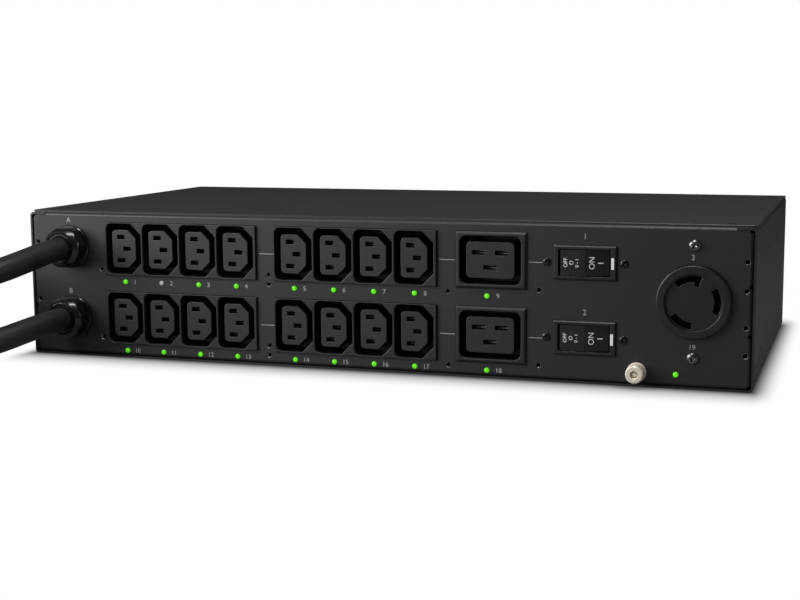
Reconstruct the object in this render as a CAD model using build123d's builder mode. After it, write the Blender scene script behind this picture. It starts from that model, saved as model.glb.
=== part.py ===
"""Rack static transfer switch, two units high, lying on its base.

The outlet side faces -Y, the display side faces +Y, +X is to the right of the outlet side and +Z is up.
The origin is the middle of the base's underside. All sizes are in millimetres.
"""

import os
from math import cos, degrees, radians, sin

from build123d import *

os.makedirs("parts", exist_ok=True)

# Enclosure: its width and height follow from what stands on the outlet side, further down
DEPTH = 236.0
SHEET = 1.2  # tray and lid
PANEL_SHEET = 1.5  # the two folded panels
BEND = 2.2  # outside radius of every fold
TRAY_LIP = 10.0  # inward fold along the top of each side wall
LID_SETBACK = 3.0  # the lid stops this far short of each panel
PANEL_RETURN = 16.0  # depth of a panel's top and bottom folds
TAB_RETURN = 22.0  # depth of a panel's side tabs
TAB_RELIEF = 2.0  # notch between two tabs
PANEL_GAP = 0.3  # between a panel and the folds of the tray

# Screws of the enclosure
SCREW_R = 1.5
SCREW_HEAD_R = 2.9
SCREW_HEAD_H = 0.9
SCREW_LENGTH = 7.0
LID_SCREW_LENGTH = 5.5
SCREW_PLAY = 0.1
LID_SCREW_INSET = 9.5
LID_CORNER_INSET = 13.0  # corner screws from the side walls
LID_SIDE_INSET = 5.0
SIDE_SCREW_INSET = 17.0

# Tapped holes for rack ears, on both side walls
EAR_HOLE_R = 1.65
EAR_INSETS = (44.0, 88.0)  # from either panel
EAR_LOW = 16.5
EAR_HIGH_INSET = 19.0  # the upper ones below the lid's face

# Outlets: the strips of four and the pair of larger ones
SOCKET_WALL = 1.3  # between two recesses of a strip
STRIP_END_LEFT = 0.8  # and outside the first and the last recess
STRIP_END_RIGHT = 1.65
STRIP_EDGE = 0.65  # and above and below them
STRIP_BEVEL = 0.25
BIG_BEVEL = 1.1
RIM_BEVEL = 0.3
BIG_SHIFT = -0.35
BIG_W = 40.4
MODULE_PROUD = 1.5
MODULE_DEPTH = 24.5
MODULE_LEDGE = 1.6
MODULE_LEDGE_T = 2.0
WINDOW_PLAY = 0.2
RECESS_DEPTH = 17.0
ISLAND_LOWER = 0.8
SMALL_RECESS = (22.9, 30.2, 3.6, 6.6)  # width, height, round corners, cut corners
SMALL_ISLAND = (15.5, 22.4, 2.4, 5.0)
BIG_RECESS = (34.8, 26.8, 4.0)
BIG_ISLAND = (27.2, 20.0, 2.6)
EARTH_SHIFT = 2.0  # earth slot from the island's centre
LIVE_BACK = 4.0  # live slots from the earth slot, along X
LIVE_SPREAD = 7.0  # live slots above and below the earth slot
SMALL_SLOT = (5.0, 2.6)
BIG_SLOT = (7.6, 2.6)
BIG_LIVE_SPREAD = 6.5
BIG_LIVE_Z = 4.1
BIG_EARTH_Z = -4.1
SLOT_DEPTH = 15.0
CONTACT_PLAY = 0.35
CONTACT_LENGTH = 9.0
CONTACT_LEAF = 0.5
CONTACT_TAB = (2.8, 0.8)
TAB_HOLE_PLAY = 0.3

# Lamps beside the outlets, on the status place and on the display side
LAMP_R = 1.6
LAMP_PROUD = 1.0
LAMP_PLAY = 0.1
LAMP_LENGTH = 7.0
LAMP_BELOW = 4.15  # lamp's centre below the lower edge of its outlet
BIG_LAMP_SHIFT = -2.0
STATUS_LAMP_LEFT = 8.6  # status lamp left of the receptacle's centre
STATUS_LAMP_Z = 7.7
UNLIT_LAMP = 1  # place of the unlit lamp, counted along the upper row from 0
STRIP_BOARD = (3.4, 1.6)
STATUS_BOARD = (14.0, 8.6)

# Circuit breakers
BREAKER_RISE = (0.1, 0.6)  # a breaker's centre above its row's
BREAKER_W = 34.4
BREAKER_H = 18.6
BREAKER_PROUD = 1.3
BREAKER_BACK = 56.0
BREAKER_EAR = (49.0, 12.0, 4.5)
BREAKER_SCREW_X = 21.05
SMALL_SCREW_R = 1.3
SMALL_HEAD_R = 2.2
SMALL_HEAD_H = 1.3
ROCKER_LEFT = 13.3
ROCKER_RIGHT = 13.0
ROCKER_H = 14.0
ROCKER_GAP = 0.4
ROCKER_SINK = 0.3
ROCKER_THROW = 12.0
ROCKER_PIVOT_BACK = 4.3  # pivot behind the bezel's face
ROCKER_BACK = 10.0
ROCKER_PIN_R = 1.5
ROCKER_PIN_OUT = 1.2
ROCKER_PIN_PLAY = 0.08
WELL_DEPTH = 12.0

# Locking receptacle
LOCK_RISE = 1.8  # its centre above the middle of the two rows
LOCK_R = 19.7
LOCK_FACE_R = 15.4
LOCK_PROUD = 2.6
LOCK_SINK = 1.5
LOCK_BARREL_R = 18.6
LOCK_BACK = 34.0
LOCK_SHOULDER_R = 22.0
LOCK_SHOULDER_T = 2.2
LOCK_PLAY = 0.3
LOCK_SLOT_IN = 11.0
LOCK_SLOT_OUT = 14.4
LOCK_SLOTS = ((72.0, 134.0), (-26.0, 33.0), (214.0, 266.0))
LOCK_HOOK = (79.0, 8.6, 2.6)  # angle, inner radius, width of the hooked end
LOCK_SLOT_DEPTH = 16.0
LOCK_CONTACT_SINK = 7.0  # contacts behind the sunk face
LOCK_SCREW_Z = 30.0
LOCK_SCREW_R = 1.6
LOCK_SCREW_HEAD_R = 3.0
LOCK_SCREW_HEAD_H = 2.0
STRAP = (72.0, 24.0, 1.5)

# Bonding terminal
GROUND_LEFT = 29.4  # left of the receptacle's centre
GROUND_Z = 8.0
GROUND_R = 4.8
GROUND_STUD_R = 2.4
GROUND_TIP_R = 1.1  # the stud's end, seen in the nut's eye
GROUND_EYE_R = 2.0
GROUND_PROUD = 9.0
WASHER_R = 5.3
WASHER_T = 0.8

# Cable glands and leads
GLAND_INSET = 27.0  # from the left wall
GLAND_RISE = (0.5, -0.6)  # a gland's centre above its row's
GLAND_FLANGE_R = 13.0
GLAND_FLANGE_T = 1.8
GLAND_NUT_R = 12.6
GLAND_NUT_FLATS = 23.4
GLAND_NUT_OUT = 13.0  # nut's mouth in front of the panel
GLAND_MOUTH_R = 9.4
GLAND_THREAD_R = 9.8
GLAND_BACK = 10.0
LOCKNUT_FLATS = 24.0
LOCKNUT_T = 4.0
LEAD_D = 14.0
LEAD_PLAY = 0.4
LEAD_INNER_END = 10.0  # the lead's end behind the outlet face

# Coils of the leads, one on the other, outside the left wall
COIL_X = -334.0
COIL_Y = -172.0
COIL_MID_R = 78.0
COIL_ROWS = 3
COIL_LAYERS = 2
COIL_LIFT = 2.0  # room for the straps under the lower coil
TIE_ANGLES = (35.0, 100.0, 325.0)
TIE_W = 14.0
TIE_T = 1.2
TIE_PLAY = 0.6

# Locking plugs
PLUG_R = 23.0
PLUG_LIFT = 0.2  # above what the plug lies on
PLUG_TAIL_R = 12.0
PLUG_TAIL = 12.0
PLUG_TAPER = 15.0
PLUG_BARREL = 38.0
PLUG_GROOVES = 5
PLUG_GROOVE_W = 1.6
PLUG_GROOVE_START = 4.0  # first groove from the barrel's near end
PLUG_GROOVE_PITCH = 3.4
PLUG_GROOVE_DEPTH = 0.8
PLUG_FACE_R = 20.5
PLUG_FACE_T = 5.0
PLUG_BLADE = 19.0
PLUG_BLADE_T = 1.7

# Boards and what stands on them
BOARD_T = 1.6
BOARD_MARGIN = 3.6  # the outlet board's edge beyond the centres of its outer spacers
OUTLET_BOARD_INSET = 5.0  # and its upper and lower edges from the lid and the base
SPACER_R = 2.5
SPACER_PLAY = 0.4
RELAY = (26.0, 15.0, 18.0)  # along X, out of the board, along Z
RELAY_ROWS = 3
RELAYS_A_ROW = 8
RELAY_PITCH_Z = 25.0
RELAY_MARGIN = 8.0  # free stretch at each end of the board
FLOOR_BOARD_LIFT = 8.0
POWER_BOARD_LEFT = 56.0  # power board's left edge from the left wall
POWER_BOARD_FRONT = 60.0  # its edges behind the outlet face and before the display face
POWER_BOARD_BACK = 42.0
CONTROL_BOARD_W = 106.0
CONTROL_BOARD_RIGHT = 10.0
CONTROL_BOARD_FRONT = 68.0
CONTROL_BOARD_BACK = 14.0
BOARD_GAP = 8.0
STANDOFF_R = 3.0
STANDOFF_INSET = 7.0
INSULATOR_T = 0.4
SINK_INSET = (40.0, 48.0)  # the sink's ends from the power board's left and right edges
SINK_DEPTH = 64.0
SINK_SHIFT = 11.0  # its middle behind the board's middle
SINK_BASE = 5.0
SINK_WALL = 4.0
SINK_HEIGHT = 46.0
FIN_T = 1.8
FIN_COUNT = 9
THYRISTOR = (16.0, 5.0, 21.0)
THYRISTOR_COUNT = 8
THYRISTOR_LEGS = (1.2, 0.8, 5.4)
SENSOR = (26.0, 20.0, 24.0)
SENSOR_BORE_R = 5.5
SENSOR_INSET = (18.0, 18.0, 36.0)  # first and last sensor from the board's left, front and back edges
CORE = (40.0, 16.0, 34.0)
CORE_INSET = 23.0  # from the board's right edge
CORE_SHIFT = 9.0
CORE_LEG = 12.0
COIL_WINDING = (26.0, 30.0, 20.0)
TERMINAL = (29.0, 24.0, 26.0)

# Display side
DISPLAY_INSET = 96.0  # the window's middle from the left wall
DISPLAY_BELOW_LID = 30.0
DISPLAY = (58.0, 24.0)
DISPLAY_BOARD_BACK = 10.0  # board behind the panel's outer face
DISPLAY_BOARD = (96.0, 56.0)
DISPLAY_BOARD_DROP = 12.0  # its middle below the window's
WINDOW_T = 1.6
KEY_SPREAD = 12.0
KEY_DROP = 28.0  # below the window's middle
KEY_R = 4.0
KEY_PLAY = 0.3
KEY_PROUD = 1.0
KEY_FLANGE_R = 5.4
KEY_FLANGE_T = 1.4
KEY_TRAVEL = 0.5
SWITCH = (6.0, 3.0)
SOURCE_LAMP_X = 60.0  # from the window's middle
SOURCE_LAMP_RISE = (4.0, -8.0)
VENT_INSET = 126.0  # the field's middle from the right wall
VENT_BELOW_LID = 36.0
VENT_SLOT = (3.0, 38.0)
VENT_PITCH = 7.0
VENT_COUNT = 16
JACK_INSET = 66.0  # from the right wall
JACK = (36.0, 21.0, 14.6)  # along X, Y, Z
PORT = (11.8, 14.0, 8.4)
PORT_X = (-8.5, 8.5)

# Rows and columns of the outlet side: each gap is the free stretch up to the next piece
BASE_EDGE = 8.65
ROW_GAP = 10.1
LID_EDGE = 6.25
LEFT_EDGE = 51.8
STRIP_GAP = 11.2
BIG_GAP = 11.0
BREAKER_GAP = 14.7
LOCK_GAP = 21.1
RIGHT_EDGE = 12.1

# Places worked out from the sizes above
SOCKET_PITCH = SMALL_RECESS[0] + SOCKET_WALL
STRIP_W = 3 * SOCKET_PITCH + SMALL_RECESS[0] + STRIP_END_LEFT + STRIP_END_RIGHT
STRIP_H = SMALL_RECESS[1] + 2 * STRIP_EDGE
SOCKET_SHIFT = (STRIP_END_LEFT - STRIP_END_RIGHT) / 2  # middle of a strip's sockets from its own middle
HEIGHT = BASE_EDGE + STRIP_H + ROW_GAP + STRIP_H + LID_EDGE
WIDTH = (LEFT_EDGE + STRIP_W + STRIP_GAP + STRIP_W + BIG_GAP + BIG_W + BREAKER_GAP + BREAKER_W
         + LOCK_GAP + 2 * LOCK_R + RIGHT_EDGE)
MODULE_Z = (BASE_EDGE + STRIP_H + ROW_GAP + STRIP_H / 2, BASE_EDGE + STRIP_H / 2)
FIRST_STRIP_X = LEFT_EDGE + STRIP_W / 2 - WIDTH / 2
STRIP_X = (FIRST_STRIP_X, FIRST_STRIP_X + STRIP_W + STRIP_GAP)
BIG_X = STRIP_X[1] + STRIP_W / 2 + BIG_GAP + BIG_W / 2
BREAKER_X = BIG_X + BIG_W / 2 + BREAKER_GAP + BREAKER_W / 2
LOCK_X = BREAKER_X + BREAKER_W / 2 + LOCK_GAP + LOCK_R
GROUND_X = LOCK_X - GROUND_LEFT
STATUS_LAMP = (LOCK_X - STATUS_LAMP_LEFT, STATUS_LAMP_Z)
GLAND_X = GLAND_INSET - WIDTH / 2
LID_SCREW_X = WIDTH / 2 - LID_CORNER_INSET
EAR_Z = (EAR_LOW, HEIGHT - EAR_HIGH_INSET)
SIDE_SCREW_Z = (EAR_Z[0], (EAR_Z[0] + EAR_Z[1]) / 2, EAR_Z[1])
LAMP_Z = tuple(z - STRIP_H / 2 - LAMP_BELOW for z in MODULE_Z)
BREAKER_Z = tuple(z + rise for z, rise in zip(MODULE_Z, BREAKER_RISE))
GLAND_Z = tuple(z + rise for z, rise in zip(MODULE_Z, GLAND_RISE))
LOCK_Z = (MODULE_Z[0] + MODULE_Z[1]) / 2 + LOCK_RISE
BIG_SOCKET_X = BIG_X + BIG_SHIFT
OUTLET_Y = -DEPTH / 2
DISPLAY_Y = DEPTH / 2
OUTLET_BACK = OUTLET_Y + PANEL_SHEET
DISPLAY_BACK = DISPLAY_Y - PANEL_SHEET
LID_Z = HEIGHT - SHEET
INNER_X = WIDTH / 2 - SHEET
LIP_X = WIDTH / 2 - TRAY_LIP
MODULE_FACE = OUTLET_Y - MODULE_PROUD
MODULE_REAR = MODULE_FACE + MODULE_DEPTH + PANEL_SHEET
ISLAND_FACE = MODULE_FACE + ISLAND_LOWER
OUTLET_BOARD_FRONT = MODULE_REAR + 1.0
FLOOR_BOARD_Z = SHEET + FLOOR_BOARD_LIFT
FLOOR_BOARD_TOP = FLOOR_BOARD_Z + BOARD_T
LEAD_R = LEAD_D / 2
GLAND_BORE_R = LEAD_R + LEAD_PLAY
LEAD_START = OUTLET_Y + LEAD_INNER_END
COIL_OUT_R = COIL_MID_R + COIL_ROWS * LEAD_D / 2
COIL_OUTER_TURN = COIL_OUT_R - LEAD_R
COIL_H = COIL_LAYERS * LEAD_D
COIL_B_Z = COIL_LIFT
COIL_A_Z = COIL_LIFT + COIL_H
COILS_TOP = COIL_LIFT + 2 * COIL_H
CONTROL_BOARD = (WIDTH / 2 - CONTROL_BOARD_RIGHT - CONTROL_BOARD_W, WIDTH / 2 - CONTROL_BOARD_RIGHT,
                 OUTLET_Y + CONTROL_BOARD_FRONT, DISPLAY_Y - CONTROL_BOARD_BACK)  # x from, x to, y from, y to
POWER_BOARD = (POWER_BOARD_LEFT - WIDTH / 2, CONTROL_BOARD[0] - BOARD_GAP,
               OUTLET_Y + POWER_BOARD_FRONT, DISPLAY_Y - POWER_BOARD_BACK)
POWER_MID_Y = (POWER_BOARD[2] + POWER_BOARD[3]) / 2
SINK_X = (POWER_BOARD[0] + SINK_INSET[0], POWER_BOARD[1] - SINK_INSET[1])
SINK_Y = (POWER_MID_Y + SINK_SHIFT - SINK_DEPTH / 2, POWER_MID_Y + SINK_SHIFT + SINK_DEPTH / 2)
SENSOR_Y = (POWER_BOARD[2] + SENSOR_INSET[1], POWER_BOARD[3] - SENSOR_INSET[2])
SENSOR_XY = [(POWER_BOARD[0] + SENSOR_INSET[0], y) for y in (SENSOR_Y[0], sum(SENSOR_Y) / 2, SENSOR_Y[1])]
CORE_XY = (POWER_BOARD[1] - CORE_INSET, POWER_MID_Y + CORE_SHIFT)
DISPLAY_X = DISPLAY_INSET - WIDTH / 2
DISPLAY_Z = HEIGHT - DISPLAY_BELOW_LID
DISPLAY_BOARD_Z = DISPLAY_Z - DISPLAY_BOARD_DROP
KEY_X = (DISPLAY_X - KEY_SPREAD, DISPLAY_X + KEY_SPREAD)
KEY_Z = DISPLAY_Z - KEY_DROP
SOURCE_LAMPS = [(DISPLAY_X + SOURCE_LAMP_X, DISPLAY_Z + rise) for rise in SOURCE_LAMP_RISE]
VENT_X = WIDTH / 2 - VENT_INSET
VENT_Z = HEIGHT - VENT_BELOW_LID
JACK_X = WIDTH / 2 - JACK_INSET


def face_at(y):
    """A plane seen from the outlet side: local x is +X, local y +Z, and a positive extrusion goes to -Y."""
    return Plane.XZ.offset(-y)


def write(name, piece):
    """Label a finished piece and write its file."""
    piece.part.label = name
    export_step(piece.part, f"parts/{name}.step")


def strip_sockets(strip_x):
    """Island centres along X of one strip of four."""
    return [strip_x + SOCKET_SHIFT + (i - 1.5) * SOCKET_PITCH for i in range(4)]


def small_slots(x, z):
    """The three slots of a small outlet whose island is centred at x, z."""
    earth = x + EARTH_SHIFT
    return [(earth, z), (earth - LIVE_BACK, z + LIVE_SPREAD), (earth - LIVE_BACK, z - LIVE_SPREAD)]


def big_slots(x, z):
    """The three slots of a large outlet whose island is centred at x, z."""
    live_z = z + BIG_LIVE_Z
    return [(x, z + BIG_EARTH_Z), (x - BIG_LIVE_SPREAD, live_z), (x + BIG_LIVE_SPREAD, live_z)]


# Small holes where cord brackets are screwed on: beside the outlets, and near both ends of the panel
BRACKET_HOLE_R = 1.6
BRACKET_BELOW = 12.5  # below a row's centre, by the strips
BRACKET_LOW = 18.1  # and further down, by the larger outlets
BRACKET_RIGHT = 15.6
BRACKET_LEFT = (4.2, 4.15)  # left of each strip
BRACKET_RIGHT_OFF = (6.3, 6.5)  # right of the second strip and of the larger outlets
BRACKET_X = [x - STRIP_W / 2 - off for x, off in zip(STRIP_X, BRACKET_LEFT)]
BRACKET_X += [STRIP_X[1] + STRIP_W / 2 + BRACKET_RIGHT_OFF[0], BIG_X + BIG_W / 2 + BRACKET_RIGHT_OFF[1]]
EDGE_HOLE_INSET = 4.6
LEFT_HOLE_RISE = (2.9, 9.3)  # holes near the left end above their rows
RIGHT_HOLE_RISE = ((3.0, -12.3), (9.9, -5.2))  # and near the right end
BRACKET_HOLES = [(x, z - BRACKET_BELOW) for x in BRACKET_X[:2] for z in MODULE_Z]
BRACKET_HOLES += [(x, z - BRACKET_LOW) for x in BRACKET_X[1:3] for z in MODULE_Z]
BRACKET_HOLES += [(BRACKET_X[3], z - BRACKET_RIGHT) for z in MODULE_Z]
BRACKET_HOLES += [(EDGE_HOLE_INSET - WIDTH / 2, z + rise) for z, rise in zip(MODULE_Z, LEFT_HOLE_RISE)]
BRACKET_HOLES += [(WIDTH / 2 - EDGE_HOLE_INSET, z + rise) for z, rises in zip(MODULE_Z, RIGHT_HOLE_RISE)
                  for rise in rises]

UPPER_LAMPS, LOWER_LAMPS = (
    [(x, z) for s in STRIP_X for x in strip_sockets(s)] + [(BIG_SOCKET_X + BIG_LAMP_SHIFT, z)] for z in LAMP_Z)
OUTLET_LAMPS = UPPER_LAMPS + LOWER_LAMPS


# Chassis tray: one sheet folded into base, side walls and inward lips
with BuildPart() as chassis_tray:
    with BuildSketch(face_at(DISPLAY_Y)):
        RectangleRounded(WIDTH, LID_Z, BEND, align=(Align.CENTER, Align.MIN))
        with Locations((0, SHEET)):
            RectangleRounded(WIDTH - 2 * SHEET, LID_Z - 2 * SHEET, BEND - SHEET,
                             align=(Align.CENTER, Align.MIN), mode=Mode.SUBTRACT)
        with Locations((0, LID_Z - SHEET)):
            Rectangle(WIDTH - 2 * TRAY_LIP, 2 * SHEET, mode=Mode.SUBTRACT)
    extrude(amount=DEPTH)
    with BuildSketch(Plane.YZ.offset(-WIDTH / 2)):
        with Locations(*[(side * (DEPTH / 2 - inset), z)
                         for side in (-1, 1) for inset in EAR_INSETS for z in EAR_Z]):
            Circle(EAR_HOLE_R)
        with Locations(*[(side * (DEPTH / 2 - SIDE_SCREW_INSET), z)
                         for side in (-1, 1) for z in SIDE_SCREW_Z]):
            Circle(SCREW_R + SCREW_PLAY)
    extrude(amount=WIDTH, mode=Mode.SUBTRACT)
    with Locations(*[Location((side * WIDTH / 2, end * (DEPTH / 2 - SIDE_SCREW_INSET), z), (0, side * 90, 0))
                     for side in (-1, 1) for end in (-1, 1) for z in SIDE_SCREW_Z]):
        Cone(SCREW_R + SCREW_PLAY, SCREW_HEAD_R + SCREW_PLAY, SCREW_HEAD_H + SCREW_PLAY,
             align=(Align.CENTER, Align.CENTER, Align.MAX), mode=Mode.SUBTRACT)
    with Locations(*[(side * (WIDTH / 2 - LID_SIDE_INSET), 0, LID_Z) for side in (-1, 1)]):
        Cylinder(SCREW_R + SCREW_PLAY, 4 * SHEET, mode=Mode.SUBTRACT)
write("chassis_tray", chassis_tray)

LID_SCREW_XY = [(x, end * (DEPTH / 2 - LID_SCREW_INSET))
                for end in (-1, 1) for x in (-LID_SCREW_X, 0, LID_SCREW_X)]
LID_SCREW_XY += [(side * (WIDTH / 2 - LID_SIDE_INSET), 0) for side in (-1, 1)]

# Lid: a flat cover with countersunk holes
with BuildPart() as lid:
    with BuildSketch(Plane.XY.offset(LID_Z)):
        RectangleRounded(WIDTH, DEPTH - 2 * LID_SETBACK, BEND)
    extrude(amount=SHEET)
    chamfer(lid.faces().sort_by(Axis.Z)[-1].outer_wire().edges(), SHEET / 4)
    with Locations(*[(x, y, HEIGHT) for x, y in LID_SCREW_XY]):
        Cylinder(SCREW_R + SCREW_PLAY, 4 * SHEET, mode=Mode.SUBTRACT)
        Cone(SCREW_R + SCREW_PLAY, SCREW_HEAD_R + SCREW_PLAY, SCREW_HEAD_H + SCREW_PLAY,
             align=(Align.CENTER, Align.CENTER, Align.MAX), mode=Mode.SUBTRACT)
write("lid", lid)

# Screws of the lid and of the side walls, heads flush with the sheet
with BuildPart() as lid_screws:
    with Locations(*[(x, y, HEIGHT) for x, y in LID_SCREW_XY]):
        Cone(SCREW_R, SCREW_HEAD_R, SCREW_HEAD_H, align=(Align.CENTER, Align.CENTER, Align.MAX))
        Cylinder(SCREW_R, LID_SCREW_LENGTH, align=(Align.CENTER, Align.CENTER, Align.MAX))
write("lid_screws", lid_screws)

with BuildPart() as side_screws:
    with Locations(*[Location((side * WIDTH / 2, end * (DEPTH / 2 - SIDE_SCREW_INSET), z), (0, side * 90, 0))
                     for side in (-1, 1) for end in (-1, 1) for z in SIDE_SCREW_Z]):
        Cone(SCREW_R, SCREW_HEAD_R, SCREW_HEAD_H, align=(Align.CENTER, Align.CENTER, Align.MAX))
        Cylinder(SCREW_R, SCREW_LENGTH, align=(Align.CENTER, Align.CENTER, Align.MAX))
write("side_screws", side_screws)


def panel_blank():
    """The folded sheet of the outlet side before its cut-outs: face, two returns, three tabs a side."""
    back = OUTLET_Y + PANEL_RETURN
    low, high = SHEET, LID_Z
    with BuildPart() as blank:
        with BuildSketch(Plane.YZ.offset(-LIP_X + PANEL_GAP)):
            with BuildLine():
                FilletPolyline((back, low), (OUTLET_Y, low), (OUTLET_Y, high), (back, high), radius=BEND)
                Line((back, high), (back, high - PANEL_SHEET))
                FilletPolyline((back, high - PANEL_SHEET), (OUTLET_BACK, high - PANEL_SHEET),
                               (OUTLET_BACK, low + PANEL_SHEET), (back, low + PANEL_SHEET),
                               radius=BEND - PANEL_SHEET)
                Line((back, low + PANEL_SHEET), (back, low))
            make_face()
        extrude(amount=2 * (LIP_X - PANEL_GAP))
        # the bottom return, which meets no lip, runs on nearly to the side walls
        face_low = SHEET + BEND
        with BuildSketch(Plane.YZ.offset(BEND - INNER_X)):
            with BuildLine():
                FilletPolyline((back, low), (OUTLET_Y, low), (OUTLET_Y, face_low), radius=BEND - 0.01)
                Line((OUTLET_Y, face_low), (OUTLET_BACK, face_low))
                FilletPolyline((OUTLET_BACK, face_low), (OUTLET_BACK, low + PANEL_SHEET),
                               (back, low + PANEL_SHEET), radius=BEND - PANEL_SHEET - 0.01)
                Line((back, low + PANEL_SHEET), (back, low))
            make_face()
        extrude(amount=2 * (INNER_X - BEND))
        # the face beyond the top return, under the tray's lips
        face_high = LID_Z - SHEET - PANEL_GAP
        with BuildSketch(face_at(OUTLET_Y)):
            with Locations((0, (face_low + face_high) / 2)):
                Rectangle(2 * (INNER_X - BEND), face_high - face_low)
        extrude(amount=-PANEL_SHEET)
        tab_high = LID_Z - BEND - PANEL_GAP
        marks = [face_low] + [(a + b) / 2 for a, b in zip(SIDE_SCREW_Z, SIDE_SCREW_Z[1:])] + [tab_high]
        for side in (-1, 1):
            for start, end in zip(marks, marks[1:]):
                z_low = start + TAB_RELIEF / 2 * (start != face_low)
                z_high = end - TAB_RELIEF / 2 * (end != tab_high)
                outer, inner = side * INNER_X, side * (INNER_X - PANEL_SHEET)
                root, tip = side * (INNER_X - 2 * BEND), OUTLET_Y + TAB_RETURN
                with BuildSketch(Plane.XY.offset(z_low)):
                    with BuildLine():
                        FilletPolyline((root, OUTLET_Y), (outer, OUTLET_Y), (outer, tip), radius=BEND)
                        Line((outer, tip), (inner, tip))
                        FilletPolyline((inner, tip), (inner, OUTLET_BACK), (root, OUTLET_BACK),
                                       radius=BEND - PANEL_SHEET)
                        Line((root, OUTLET_BACK), (root, OUTLET_Y))
                    make_face()
                extrude(amount=z_high - z_low)
        # holes for the lid's screws and the side screws
        with Locations(*[(x, OUTLET_Y + LID_SCREW_INSET, LID_Z) for x in (-LID_SCREW_X, 0, LID_SCREW_X)]):
            Cylinder(SCREW_R + SCREW_PLAY, 4 * PANEL_SHEET, mode=Mode.SUBTRACT)
        with BuildSketch(Plane.YZ.offset(-WIDTH / 2)):
            with Locations(*[(OUTLET_Y + SIDE_SCREW_INSET, z) for z in SIDE_SCREW_Z]):
                Circle(SCREW_R + SCREW_PLAY)
        extrude(amount=WIDTH, mode=Mode.SUBTRACT)
    return blank.part


# Outlet panel: every cut-out and hole of the outlet side
BLANK = panel_blank()
with BuildPart() as outlet_panel:
    add(BLANK)
    with BuildSketch(face_at(OUTLET_Y)):
        with Locations(*[(x, z) for x in STRIP_X for z in MODULE_Z]):
            Rectangle(STRIP_W + 2 * WINDOW_PLAY, STRIP_H + 2 * WINDOW_PLAY)
        with Locations(*[(BIG_X, z) for z in MODULE_Z]):
            Rectangle(BIG_W + 2 * WINDOW_PLAY, STRIP_H + 2 * WINDOW_PLAY)
        with Locations(*[(BREAKER_X, z) for z in BREAKER_Z]):
            Rectangle(BREAKER_W + 2 * WINDOW_PLAY, BREAKER_H + 2 * WINDOW_PLAY)
        with Locations(*[(BREAKER_X + s * BREAKER_SCREW_X, z) for z in BREAKER_Z for s in (-1, 1)]):
            Circle(SMALL_SCREW_R + SCREW_PLAY)
        with Locations((LOCK_X, LOCK_Z)):
            Circle(LOCK_R + LOCK_PLAY)
        with Locations(*[(LOCK_X, LOCK_Z + s * LOCK_SCREW_Z) for s in (-1, 1)]):
            Circle(LOCK_SCREW_R + SCREW_PLAY)
        with Locations((GROUND_X, GROUND_Z)):
            Circle(GROUND_STUD_R + SCREW_PLAY)
        with Locations(*[(GLAND_X, z) for z in GLAND_Z]):
            Circle(GLAND_THREAD_R + SCREW_PLAY)
        with Locations(*OUTLET_LAMPS, STATUS_LAMP):
            Circle(LAMP_R + LAMP_PLAY)
        with Locations(*BRACKET_HOLES):
            Circle(BRACKET_HOLE_R)
    extrude(amount=-BEND, mode=Mode.SUBTRACT)
write("outlet_panel", outlet_panel)

# Display side panel: window, keys, lamps, network ports and a field of vent slots
JACK_Z = FLOOR_BOARD_TOP + JACK[2] / 2
with BuildPart() as front_panel:
    add(mirror(BLANK, about=Plane.XZ, mode=Mode.PRIVATE))
    with BuildSketch(face_at(DISPLAY_Y)):
        with Locations((DISPLAY_X, DISPLAY_Z)):
            RectangleRounded(*DISPLAY, 1.5)
        with Locations(*[(x, KEY_Z) for x in KEY_X]):
            Circle(KEY_R + KEY_PLAY)
        with Locations(*SOURCE_LAMPS):
            Circle(LAMP_R + LAMP_PLAY)
        with Locations((JACK_X, JACK_Z)):
            Rectangle(JACK[0] + 2 * WINDOW_PLAY, JACK[2] + 2 * WINDOW_PLAY)
        with Locations((VENT_X, VENT_Z)):
            with GridLocations(VENT_PITCH, 0, VENT_COUNT, 1):
                SlotOverall(VENT_SLOT[1], VENT_SLOT[0], rotation=90)
    extrude(amount=BEND, mode=Mode.SUBTRACT)
write("front_panel", front_panel)


def cut_corner_outline(width, height, corner, cut):
    """Outline of a small outlet: round corners on the left, cut corners on the right."""
    with BuildSketch() as outline:
        Rectangle(width, height)
        chamfer(outline.vertices().group_by(Axis.X)[-1], cut)
        fillet(outline.vertices().group_by(Axis.X)[0], corner)
    return outline.sketch


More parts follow.
